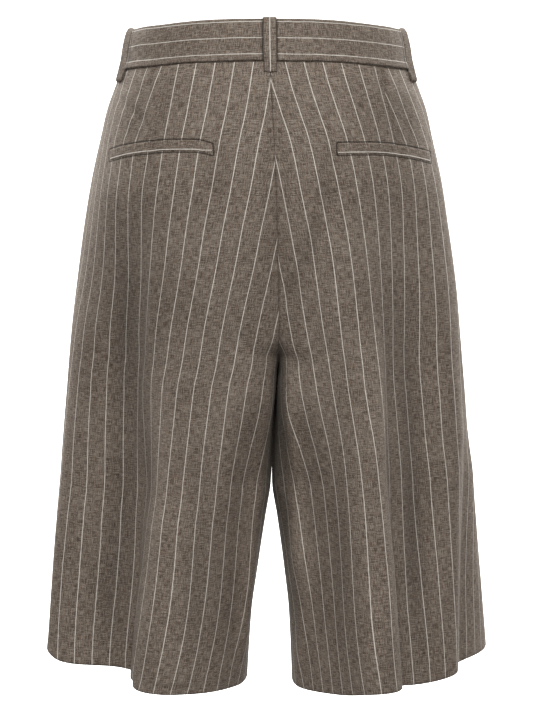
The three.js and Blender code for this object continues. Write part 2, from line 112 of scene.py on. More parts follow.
def mesh_object(name, mesh, material):
    """A smooth-shaded object at the origin, made from a finished bmesh."""
    data = bpy.data.meshes.new(name)
    mesh.to_mesh(data)
    mesh.free()
    data.materials.append(material)
    for polygon in data.polygons:
        polygon.use_smooth = True
    made = bpy.data.objects.new(name, data)
    bpy.context.collection.objects.link(made)
    return made


print("helpers ready")

# %% [markdown]
# The sweep is painted matt white. It is a short profile of floor, curve and wall, extruded sideways.

# %% White sweep
FLOOR_Z = -0.95
FLOOR_FRONT = -0.7
CURVE_START = -2.2
CURVE_RADIUS = 1.6
WALL_TOP = 5.0
SWEEP_COLOUR = "#F4F3F1"

sweep_paint, tree, shader = new_material("matt_white_backdrop_paint")
shader.inputs["Base Color"].default_value = hex_colour(SWEEP_COLOUR)
shader.inputs["Roughness"].default_value = 0.9
shader.inputs["Emission Color"].default_value = (1, 1, 1, 1)
shader.inputs["Emission Strength"].default_value = 1.3

sweep_mesh = bmesh.new()
profile = [(FLOOR_FRONT, FLOOR_Z)]
for turn in np.linspace(0, math.pi / 2, 17):
    back, up = math.sin(turn), 1 - math.cos(turn)
    profile.append((CURVE_START - CURVE_RADIUS * back, FLOOR_Z + CURVE_RADIUS * up))
profile.append((CURVE_START - CURVE_RADIUS, WALL_TOP))
points = [sweep_mesh.verts.new((-6, y, z)) for y, z in profile]
edges = [sweep_mesh.edges.new(pair) for pair in zip(points[:-1], points[1:])]
grown = bmesh.ops.extrude_edge_only(sweep_mesh, edges=edges)["geom"]
moved = [g for g in grown if isinstance(g, bmesh.types.BMVert)]
bmesh.ops.translate(sweep_mesh, verts=moved, vec=(12, 0, 0))
bmesh.ops.recalc_face_normals(sweep_mesh, faces=sweep_mesh.faces)
sweep = mesh_object("sweep", sweep_mesh, sweep_paint)
print("sweep faces:", len(sweep.data.polygons))

# %% [markdown]
# The main light is a soft panel high above the camera, so folds and the seat shade downwards. Two panels
# behind the garment light its edges, weak ones fill the sides and the front, and the sky is an even white.


# %% Studio light
def soft_panel(name, place, aim, width, height, power):
    """A rectangular area light that faces the point aim."""
    data = bpy.data.lights.new(name, "AREA")
    data.shape = "RECTANGLE"
    data.size = width
    data.size_y = height
    data.energy = power
    panel = bpy.data.objects.new(name, data)
    panel.location = place
    way = np.array(aim) - np.array(place)
    way = way / np.linalg.norm(way)
    turn = math.atan2(way[1], way[0]) - math.pi / 2
    panel.rotation_euler = (math.pi / 2 + math.asin(way[2]), 0, turn)
    bpy.context.collection.objects.link(panel)


LIGHTS = (
    # name, place, aim, width, height, power
    ("key_panel", (0.0, 2.1, 2.0), (0, 0, -0.2), 1.2, 1.0, 78),
    ("left_panel", (2.2, 1.0, 0.1), (0, 0, -0.3), 1.0, 1.6, 1.6),
    ("right_panel", (-2.2, 1.0, 0.1), (0, 0, -0.3), 1.0, 1.6, 1.6),
    ("left_rim_panel", (1.35, -1.35, 1.1), (0, 0, 0), 0.7, 0.9, 46),
    ("right_rim_panel", (-1.35, -1.35, 1.1), (0, 0, 0), 0.7, 0.9, 44),
    ("front_panel", (0, 3.0, -0.1), (0, 0, -0.3), 1.2, 0.9, 9),
)
for light in LIGHTS:
    soft_panel(*light)

world = bpy.data.worlds.new("studio_white")
world.use_nodes = True
background = world.node_tree.nodes["Background"]
background.inputs["Color"].default_value = (1, 1, 1, 1)
background.inputs["Strength"].default_value = 0.33
bpy.context.scene.world = world
print("lights:", [light[0] for light in LIGHTS])

# %% [markdown]
# ## The form of the garment
# A leg is a stack of horizontal sections. Each section is made of four quarter curves: inside to back,
# back to side, side to front, front to inside. The table gives their sizes at each height, and the
# surface between the rows is a smooth curve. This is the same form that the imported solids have, so the
# cloth lies exactly where the solids do, but it can be drawn with far more points.

# %% Section sizes
SECTION_NAMES = ("z", "half", "mid", "apex_left", "apex_right", "wide_left", "wide_right", "back", "front",
                 "inner", "flat_left", "flat_right", "flat_inside", "flat_front", "inseam", "flare_right")
SECTIONS = np.array([
    (10, 121, -2.5, 6, 6, 0, 0, 83, 84, -150, 0, 0, 0, 0, 0, 0),
    (0, 125, -2.8, 6, 6, 0, 0, 86, 86, -150, 0, 0, 0, 0, 0, 0),
    (-18, 131, -3, 7, 7, 0, 0, 92.5, 88, -150, 0, 0, 0, 0, 0, 0),
    (-38, 135.8, -3.3, 8, 8, -1, -1, 99, 91, -150, 0, 0, 0, 0, 0, 0),
    (-60, 143.8, -4, 10, 10, -5, -3, 105.8, 94, -150, -0.01, 0, 0, 0.02, 0, 0),
    (-85, 153, -5.5, 13, 14, -10, -4, 110.1, 97, -150, -0.01, 0.03, 0, 0.04, 0, 0),
    (-110, 159.2, -7, 18, 20, -16, -5, 113.5, 99, -145, -0.01, 0.06, 0.26, 0.05, 0, -0.5),
    (-155, 169.8, -8.9, 27, 30, -25, -5, 116.4, 100, -132, -0.01, 0.1, 0.26, 0.07, 4, -1),
    (-200, 177.9, -10.1, 37, 40, -30, -4, 115.3, 100, -110, 0.05, 0.16, 0.18, 0.08, 8, -2),
    (-250, 185, -11.2, 45, 50, -34, -1, 112.2, 98, -70, 0.12, 0.21, 0.07, 0.1, 12, -2),
    (-295, 190.6, -11.8, 52, 59, -32, -3, 107.2, 96, -24, 0.19, 0.24, -0.07, 0.1, 15, -2.5),
    (-318, 192.8, -11.6, 55, 64, -31, -4, 105.2, 95, 0.2, 0.23, 0.26, -0.16, 0.1, 16, -2),
    (-345, 195, -10, 59, 70, -30, -4, 103.2, 94, 0.4, 0.27, 0.27, -0.17, 0.1, 16, -1),
    (-410, 200.2, -6, 63, 84, -22, -15, 101.5, 92, 0.8, 0.38, 0.27, 0.02, 0.1, 14, 1.5),
    (-445, 202.8, -4.8, 65, 90, -16, -20, 100.6, 92, 1.5, 0.44, 0.27, 0.1, 0.1, 12, 3.5),
    (-480, 206.2, -4.6, 71, 95, -9, -28, 100.9, 92, 6.8, 0.48, 0.25, 0.09, 0.1, 10, 3),
    (-527, 210.3, -4.2, 79, 101, 0, -37, 101.3, 92, 13.6, 0.54, 0.22, 0.07, 0.1, 8, 3),
    (-573, 214.4, -3.6, 85, 105, 6, -44, 101.6, 92, 19.4, 0.56, 0.19, 0.04, 0.1, 6, 3),
    (-650, 220.3, -2.9, 94, 111, 16, -54, 103.1, 92, 23.5, 0.59, 0.15, 0, 0.1, 5, 3),
])
DEPTHS = -SECTIONS[:, 0]


def smooth(x):
    """0 to 1 with soft ends."""
    t = np.clip(x, 0, 1)
    return t * t * (3 - 2 * t)


def unit(vectors):
    return vectors / np.linalg.norm(vectors, axis=-1, keepdims=True)


def run_length(points):
    """Distance walked from the first point to each point of a path."""
    return np.concatenate([[0], np.cumsum(np.linalg.norm(np.diff(points, axis=0), axis=1))])


def halving(low, high, is_low):
    """The place between low and high where a test turns from true to false."""
    for _ in range(40):
        trial = (low + high) / 2
        below = is_low(trial)
        low = np.where(below, trial, low)
        high = np.where(below, high, trial)
    return (low + high) / 2


def even_slopes(places, values):
    """Slopes for a smooth curve through the values that never overshoots them."""
    steps = np.diff(values) / np.diff(places)
    inside = [2 * a * b / (a + b) if a * b > 0 else 0.0 for a, b in zip(steps[:-1], steps[1:])]
    return np.array([steps[0], *inside, steps[-1]])


SLOPES = {name: even_slopes(DEPTHS, SECTIONS[:, i]) for i, name in enumerate(SECTION_NAMES)}


def size_at(name, z):
    """A named section size at any height."""
    values = SECTIONS[:, SECTION_NAMES.index(name)]
    slopes = SLOPES[name]
    depth = np.clip(-np.asarray(z, float), DEPTHS[0], DEPTHS[-1])
    k = np.clip(np.searchsorted(DEPTHS, depth, side="right") - 1, 0, len(DEPTHS) - 2)
    h = DEPTHS[k + 1] - DEPTHS[k]
    t = (depth - DEPTHS[k]) / h
    start = values[k] * (2 * t**3 - 3 * t**2 + 1) + slopes[k] * h * (t**3 - 2 * t**2 + t)
    end = values[k + 1] * (3 * t**2 - 2 * t**3) + slopes[k + 1] * h * (t**3 - t**2)
    return start + end


print("hip width at -200 mm:", round(float(2 * size_at("half", -200)), 1), "mm")

# %% [markdown]
# The angle runs round one leg: 0 is the inside, a quarter turn the back, a half turn the side. The two
# halves differ a little, so near the seat seam each one bends towards the other and they meet.

# %% Section curves
SEAM_BLEND = 45
HEIGHTS = np.arange(-665, 13, 1.0)


def half_sizes(side, z):
    """Section sizes of one half at the heights z."""
    hand = "left" if side > 0 else "right"
    shared = ("mid", "back", "front", "inner", "inseam", "flat_inside", "flat_front")
    sizes = {name: size_at(name, z) for name in shared}
    for name in ("apex", "wide", "flat"):
        sizes[name] = size_at(f"{name}_{hand}", z)
    flare = 0 if side > 0 else size_at("flare_right", z)
    sizes["outer"] = size_at("half", z) - side * sizes["mid"] + flare
    return sizes


def leg_section(side, angle, h):
    """Sideways and depth place on a section, before the halves are joined."""
    c = np.cos(angle)
    s = np.sin(angle)
    flat = np.where(c > 0, h["flat_inside"], np.where(s >= 0, h["flat"], h["flat_front"]))
    pull = 1 - flat * np.sin(2 * angle) ** 2
    base = np.where(c > 0, h["wide"] + (h["inseam"] - h["wide"]) * smooth(c), h["wide"])
    y = np.where(s >= 0, base + (h["back"] - base) * s * pull, base + (h["front"] + base) * s * pull)
    reach = np.where(c > 0, h["apex"] - h["inner"], h["outer"] - h["apex"])
    return h["mid"] + side * (h["apex"] - reach * c * pull), y


def seam_angles(side):
    """Angle where each height's section meets the seat seam, and the depths there."""
    h = half_sizes(side, HEIGHTS)
    found = halving(np.zeros_like(HEIGHTS), np.full_like(HEIGHTS, math.pi / 2),
                    lambda trial: side * (leg_section(side, trial, h)[0] - h["mid"]) < 0)
    angle = np.where(h["inner"] >= 0, 0, found)
    return angle, leg_section(side, angle, h)[1], leg_section(side, -angle, h)[1]


SEAMS = {side: seam_angles(side) for side in (1, -1)}


def start_angle(side, z):
    """Angle of the seat seam, or of the inseam below the crotch."""
    return np.interp(z, HEIGHTS, SEAMS[side][0])


def section_point(side, angle, z, h):
    """Sideways and depth place on a section, bent so that the halves meet at the seat seam."""
    x, y = leg_section(side, angle, h)
    back_step, front_step = [np.interp(z, HEIGHTS, (SEAMS[-side][i] - SEAMS[side][i]) / 2) for i in (1, 2)]
    step = np.where(np.sin(angle) >= 0, back_step, front_step)
    return x, y + step * np.exp(-(((side * (x - h["mid"])) / SEAM_BLEND) ** 2))


print("seat seam angle at -200 mm:", round(float(start_angle(1, -200)), 3))

# %% [markdown]
# ## The long folds
# Down each leg the cloth drops in a few long folds, where it steps back and sometimes laps over itself.
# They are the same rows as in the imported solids. A fold is a smooth step across the cloth, so it could
# be sculpted, but a table keeps each one adjustable.

# %% Long folds
FOLD_NAMES = ("side", "face", "x_top", "x_hem", "z_top", "z_start", "z_full", "step", "lap", "crease",
              "reach")
LONG_FOLDS = (
    (1, 1, 120, 145, -190, -99, -266, 4.6, 0.6, 10.7, 33),
    (-1, 1, 84, 122, -200, -182, -587, 26.6, 0, 17.5, 48),
    (-1, 1, 184, 183, -290, -230, -561, 11.1, 0, 11.4, 46),
    (1, 1, 123, 128, -430, -370, -560, 8, 0, 13, 36),
    (-1, 1, 119, 131, -430, -390, -560, 5, 2, 8, 24),
    (1, -1, 78, 112, -60, -60, -420, 11, 5, 6.5, 30),
    (-1, -1, 80, 118, -60, -60, -440, 12, 5, 6.5, 30),
)
HEM_Z = -640
SIDE_MARGIN = 0.24
TINY_ANGLE = 1e-3


def fold_places(fold):
    """Middle angle of a long fold at each height, and the mm of cloth that one radian covers there."""
    side, face = fold["side"], fold["face"]
    h = half_sizes(side, HEIGHTS)
    share = np.clip((fold["z_top"] - HEIGHTS) / (fold["z_top"] - HEM_Z), 0, 1)
    x = fold["x_top"] + (fold["x_hem"] - fold["x_top"]) * share
    middle = halving(np.full_like(HEIGHTS, math.pi / 2), np.full_like(HEIGHTS, math.pi - SIDE_MARGIN),
                     lambda trial: side * (section_point(side, face * trial, HEIGHTS, h)[0] - h["mid"]) < x)
    angle = middle if face > 0 else 2 * math.pi - middle
    ax, ay = section_point(side, angle + TINY_ANGLE, HEIGHTS, h)
    bx, by = section_point(side, angle - TINY_ANGLE, HEIGHTS, h)
    return angle, np.hypot(ax - bx, ay - by) / (2 * TINY_ANGLE)


FOLDS = []
for row in LONG_FOLDS:
    fold = dict(zip(FOLD_NAMES, row))
    fold["angles"], fold["scales"] = fold_places(fold)
    FOLDS.append(fold)


def draped_point(side, angle, z):
    """Point of the cloth with its long folds."""
    angle = np.asarray(angle, float)
    z = np.broadcast_to(np.asarray(z, float), angle.shape)
    h = half_sizes(side, z)
    x, y = section_point(side, angle, z, h)
    ax, ay = section_point(side, angle + TINY_ANGLE, z, h)
    bx, by = section_point(side, angle - TINY_ANGLE, z, h)
    length = np.hypot(ax - bx, ay - by)
    tx, ty = (ax - bx) / length, (ay - by) / length
    nx, ny = -ty * side, tx * side
    for fold in FOLDS:
        if fold["side"] != side:
            continue
        amount = smooth((fold["z_start"] - z) / (fold["z_start"] - fold["z_full"]))
        middle = np.interp(z, HEIGHTS, fold["angles"])
        arc = (angle - middle) * np.interp(z, HEIGHTS, fold["scales"]) * fold["face"]
        shape = np.tanh(arc / fold["crease"]) * np.exp(-((arc / fold["reach"]) ** 2)) * amount
        x = x - shape * (fold["step"] * nx + fold["lap"] * tx * fold["face"])
        y = y - shape * (fold["step"] * ny + fold["lap"] * ty * fold["face"])
    return np.stack([x, y, z], -1)


def draped_normal(side, angle, z):
    """Direction straight out of the cloth."""
    along = draped_point(side, angle + 2e-3, z) - draped_point(side, angle - 2e-3, z)
    up = draped_point(side, angle, z + 0.5) - draped_point(side, angle, z - 0.5)
    return unit(np.cross(up, along) * side)


print("long folds:", len(FOLDS))

# %% [markdown]
# ## How far a point lies across the cloth
# Seams, creases and stripes are drawn in the cloth's own sizes: the distance across from the middle of
# the back (or of the front), and the height. The distances are added up once along many sections.

# %% Distance across
ANGLES = np.linspace(-0.3, 2 * math.pi + 0.3, 900)
RULER_STEP = 4.0
RULER_HEIGHTS = np.arange(-664, 13, RULER_STEP)


def ruler(side, face):
    """Distance across the cloth from the middle of the back or front, for each height and angle."""
    zero = math.pi / 2 if face > 0 else 3 * math.pi / 2
    rows = []
    for z in RULER_HEIGHTS:
        total = run_length(draped_point(side, ANGLES, z)[:, :2])
        rows.append((total - np.interp(zero, ANGLES, total)) * face)
    return np.array(rows)


RULERS = {(side, face): ruler(side, face) for side in (1, -1) for face in (1, -1)}


def across_at(side, face, angle, z):
    """Distance across, positive towards the side seam."""
    table = RULERS[(side, face)]
    r = np.clip((z - RULER_HEIGHTS[0]) / RULER_STEP, 0, len(RULER_HEIGHTS) - 1.001)
    c = np.clip((angle - ANGLES[0]) / (ANGLES[1] - ANGLES[0]), 0, len(ANGLES) - 1.001)
    r0, c0 = r.astype(int), c.astype(int)
    fr, fc = r - r0, c - c0
    low = table[r0, c0] * (1 - fc) + table[r0, c0 + 1] * fc
    high = table[r0 + 1, c0] * (1 - fc) + table[r0 + 1, c0 + 1] * fc
    return low * (1 - fr) + high * fr


half_turn = np.array([math.pi])
print("back hem, middle to side:", round(float(across_at(1, 1, half_turn, np.array([-630.0]))[0])), "mm")

# %% [markdown]
# ## Small folds and creases
# Each small fold is a soft trough (or ridge, with a minus depth) along a short line on the cloth. Its
# width and depth fade at both ends and wander a little, as a real crease does. The same depth paints
# shade into the colour: darker in a trough, lighter on a ridge.

# %% Small folds
CREASE_NAMES = ("side", "face", "across_1", "z_1", "across_2", "z_2", "width", "depth")
CREASES = (
    # darts and the pulls below the waist
    (1, 1, 88, -50, 104, -150, 5.5, 1.5),
    (-1, 1, 101, -50, 110, -152, 5.5, 1.5),
    (1, 1, 118, -62, 128, -120, 12, 1.6),
    (-1, 1, 122, -70, 128, -130, 12, 1.4),
    # soft diagonal fold below the right pocket
    (-1, 1, 36, -118, 8, -182, 9, 1.9),
    (-1, 1, 10, -178, -50, -265, 9, 2.3),
    (1, 1, 34, -118, 26, -170, 9, 1.3),
    # pucker of the left hip below the belt
    (1, 1, 168, -70, 104, -102, 5.5, 1.2),
    (1, 1, 158, -92, 128, -108, 5, 0.7),
    # pulls towards the crotch
    (1, 1, -10, -290, -52, -322, 9, 1.4),
    (-1, 1, -10, -300, -60, -328, 9, 1.4),
    # inner folds beside the crotch
    (1, 1, -60, -345, -92, -640, 15, -4.0),
    (-1, 1, -90, -480, -120, -640, 12, -2.5),
    (-1, 1, -55, -315, -110, -540, 9, -3.6),
    # broad folds down the left leg
    (1, 1, 127, -215, 121, -630, 17, 4.0),
    (1, 1, 62, -300, 14, -620, 22, -2.2),
    (1, 1, 8, -400, -22, -620, 13, 2.0),
    # broad folds down the right leg
    (-1, 1, 94, -270, 74, -630, 14, 3.6),
    (-1, 1, 36, -290, -9, -620, 15, -2.4),
    (-1, 1, -12, -330, -64, -610, 13, 1.0),
)


def crease_depth(side, face, across, z):
    """How far the small folds push the cloth in at each point."""
    depth = np.zeros_like(across)
    for row in CREASES:
        c = dict(zip(CREASE_NAMES, row))
        if c["side"] != side or c["face"] != face:
            continue
        dx, dz = c["across_2"] - c["across_1"], c["z_2"] - c["z_1"]
        length = math.hypot(dx, dz)
        t = ((across - c["across_1"]) * dx + (z - c["z_1"]) * dz) / length**2
        off = ((across - c["across_1"]) * dz - (z - c["z_1"]) * dx) / length
        off = off + 1.6 * np.sin(5.3 * t + 0.11 * length)
        ends = smooth((t + 0.12) / 0.35) * smooth((1.12 - t) / 0.35)
        wave = 1 + 0.22 * np.sin(9.1 * t + length)
        depth += c["depth"] * wave * ends * np.exp(-((off / c["width"]) ** 2))
    return depth


def cloth_ripple(side, face, across, z):
    """Very low, uneven waves of cloth that hangs free."""
    k = 0.7 * side + 1.9 * face
    return (0.26 * np.sin(across / 15 + z / 190 + k) * np.sin(z / 120 - across / 71 + 2 * k)
            + 0.05 * np.sin(across / 8.3 - z / 47 + 3 * k) * np.sin(z / 29 + across / 33))


def between_legs_shade(side, x, z):
    """Depth in mm of the painted shade in the crease between the legs and along the right leg's inner fold,
    x out from the seam; a quarter of it also dents the cloth.
    """
    core_width = 4.5 if side > 0 else 6.5
    core = 7 * np.exp(-((x / core_width) ** 2)) * smooth((-318 - z) / 14) * smooth((500 + z) / 70)
    if side > 0:
        return core
    edge = 12 + 8 * np.clip((-304 - z) / 204, 0, 1.3)
    fold = 3.6 * smooth((edge - x) / 4) * smooth((-335 - z) / 90) * smooth((545 + z) / 60)
    return np.maximum(core, fold)


print("small folds:", len(CREASES))

# %% [markdown]
# ## Where the stripes run
# The stripes are woven along the grain, one every 17.9 mm. A trouser back is cut with its seat seam on
# the slant, so the grain leans against the seam, and each stripe ends there in a peak. The two tables
# say how far the grain has drifted at places on the cloth; the values between are blended smoothly. The
# columns are distances across from the middle of the back.

# %% Grain
PITCH = 17.9
GRAIN_STEP = 60
GRAIN_HEIGHTS = tuple(range(20, -701, -GRAIN_STEP))
GRAIN_ACROSS = tuple(range(-160, 261, GRAIN_STEP))
GRAIN_LEFT = np.array([
    # -160, -100, -40, 20, 80, 140, 200, 260
    (90.6, 95.6, 100.2, 103.8, 105.7, 107.9, 110.9, 114.9),
    (93.3, 95.4, 98.5, 102.9, 100.0, 102.2, 107.1, 115.1),
    (96.8, 95.4, 94.1, 94.3, 89.6, 91.9, 103.2, 117.1),
    (99.9, 96.7, 93.2, 92.4, 93.5, 93.2, 108.9, 121.7),
    (101.3, 96.9, 92.1, 93.7, 96.6, 94.4, 106.8, 119.8),
    (100.6, 91.6, 82.0, 89.2, 90.8, 87.8, 94.2, 110.8),
    (97.5, 87.9, 80.8, 90.6, 86.9, 89.8, 92.6, 104.6),
    (94.3, 86.9, 80.4, 90.7, 93.3, 91.3, 93.8, 102.0),
    (93.1, 85.7, 81.0, 86.1, 93.6, 91.8, 95.9, 100.8),
    (99.4, 98.0, 90.4, 96.7, 100.3, 95.7, 95.5, 98.7),
    (101.0, 102.6, 92.3, 97.2, 94.7, 94.7, 95.1, 98.7),
    (83.2, 80.4, 80.2, 91.4, 92.2, 97.5, 101.7, 103.2),
    (57.6, 61.3, 69.3, 80.5, 89.4, 97.5, 103.9, 107.1),
])
GRAIN_RIGHT = np.array([
    # -160, -100, -40, 20, 80, 140, 200, 260
    (92.3, 100.3, 107.8, 112.6, 112.2, 110.2, 106.8, 101.5),
    (90.1, 93.5, 97.4, 103.1, 102.3, 103.5, 101.6, 96.4),
    (88.8, 90.3, 91.3, 95.5, 91.2, 94.8, 95.1, 90.5),
    (88.5, 92.1, 96.1, 100.0, 92.3, 94.6, 88.3, 84.7),
    (90.1, 95.0, 99.9, 100.6, 101.7, 105.9, 89.3, 85.1),
    (94.0, 98.6, 104.2, 108.4, 110.4, 109.2, 98.8, 96.0),
    (100.8, 98.7, 101.5, 120.1, 116.7, 117.0, 115.8, 113.6),
    (109.6, 103.3, 99.9, 116.9, 113.2, 116.3, 124.2, 129.1),
    (110.2, 108.1, 104.0, 118.1, 113.6, 110.9, 127.7, 141.3),
    (97.1, 111.1, 115.3, 120.3, 110.6, 110.1, 134.5, 151.4),
    (80.6, 105.3, 117.6, 118.2, 109.3, 109.9, 134.7, 156.0),
    (67.0, 90.5, 110.3, 114.9, 110.9, 116.2, 135.8, 157.8),
    (60.3, 81.9, 99.7, 109.6, 115.9, 125.4, 140.1, 159.8),
])


def spline_weights(places, first, count):
    """Blending weights of a smooth cubic curve over evenly spaced values."""
    t = (places - first) / GRAIN_STEP
    weights = []
    for i in range(count):
        u = np.abs(t - i)
        weights.append(np.where(u < 1, 2 / 3 - u**2 + u**3 / 2, np.where(u < 2, (2 - u) ** 3 / 6, 0)))
    return np.stack(weights, -1)


def grain_drift(side, across, z):
    """How far the stripes have drifted, in mm, at places on a back panel."""
    table = GRAIN_LEFT if side > 0 else GRAIN_RIGHT
    wa = spline_weights(np.clip(across, -100, 200), GRAIN_ACROSS[0], len(GRAIN_ACROSS))
    wz = spline_weights(np.clip(-z, 0, -HEM_Z), -GRAIN_HEIGHTS[0], len(GRAIN_HEIGHTS))
    return np.einsum("...i,...j,ji->...", wa, wz, table)


print("drift at the left hip:", round(float(grain_drift(1, np.array(0.0), np.array(-200.0))), 1), "mm")

# %% [markdown]
# A dart is a wedge of cloth taken in below the waist. It swallows one stripe on each side of the back:
# past the dart the stripes jump by what it takes in, and the jump shrinks to nothing at its point.

# %% Darts
DART_NAMES = ("across_top", "z_top", "across_point", "z_point", "take")
DARTS = {
    1: dict(zip(DART_NAMES, (89.8, -40.4, 101.1, -112.8, 18))),
    -1: dict(zip(DART_NAMES, (102.3, -47.7, 108.0, -115.9, 18))),
}


def dart_values(side, across, z):
    """Distance past the dart line, and how much the dart takes in at this height."""
    d = DARTS[side]
    k = (z - d["z_point"]) / (d["z_top"] - d["z_point"])
    line = d["across_point"] + (d["across_top"] - d["across_point"]) * k
    return across - line, d["take"] * np.clip(k, 0, 1.2)


print("darts take in", DARTS[1]["take"], "mm at the waist")

# %% [markdown]
# ## The pocket mouths
# Each back pocket is closed by one welt, a strip 10.8 mm high. A fine dark line of painted shadow runs
# round the welt, where the gap at its edges lies in shade.

# %% Pocket places
WELT_HEIGHT = 10.8
WELT_INNER = {1: 57, -1: 58}
WELT_OUTER = {1: 156, -1: 148}


def welt_top(side, k):
    """Height of a welt's top edge, from its inner end to its outer one."""
    if side < 0:
        return -115.2 - 10 * (np.maximum(0, k - 0.3) / 0.7) ** 2
    return -112.4 - 3.6 * (np.maximum(0, 0.2 - k) / 0.2) ** 2 - 10.6 * (np.maximum(0, k - 0.2) / 0.8) ** 2.6


def beside_welt(side, x, z):
    """Distance in mm from the outline of the welt: minus inside, and x is the place out from the seam."""
    k = np.clip((x - WELT_INNER[side]) / (WELT_OUTER[side] - WELT_INNER[side]), 0, 1)
    top = welt_top(side, k)
    over = np.maximum(z - top, top - WELT_HEIGHT - z)
    beside = np.maximum(WELT_INNER[side] - x, (x - WELT_OUTER[side]) * 1.4)
    return np.maximum(over, beside)


print("welt ends, left:", float(welt_top(1, 0.0)), float(welt_top(1, 1.0)), "mm")

# %% [markdown]
# ## Suiting cloth
# The cloth is a light wool suiting in brown and grey: a plain weave of yarns spun from fibres of mixed
# colour (a melange), with a fine off-white pin stripe of single bright threads. Up close the eye sees short
# streaks along both thread directions, a few warm fibres, and stripes that break up a little. The real
# threads are 0.4 mm apart, too fine for the picture, so the streaks are drawn about 0.6 mm wide.
# A photographed weave would show more, but drawn noise has no edges and no repeat.

# %% Suiting material
CLOTH_DARK = "#463C33"
CLOTH_MID = "#6D6157"
CLOTH_LIGHT = "#958A7E"
WARM_FIBRE = "#8A6445"
STRIPE_COLOUR = "#E2DDD3"
SHADE_COLOUR = "#1B1713"
SHEEN_COLOUR = "#CFC6B8"
# widths in millimetres
STRIPE_HALF = 0.29
# widths and lengths in metres, as the map is
STRIPE_WANDER = 0.0004
THREAD = 0.00062
STREAK = 0.0078
SPECK = 0.0006
# weights of the noises, and the range of their sum that the colours are spread over
SPECK_WEIGHT = 0.8
CLOUD_WEIGHT = 0.2
TONE_RANGE = (1.20, 1.80)


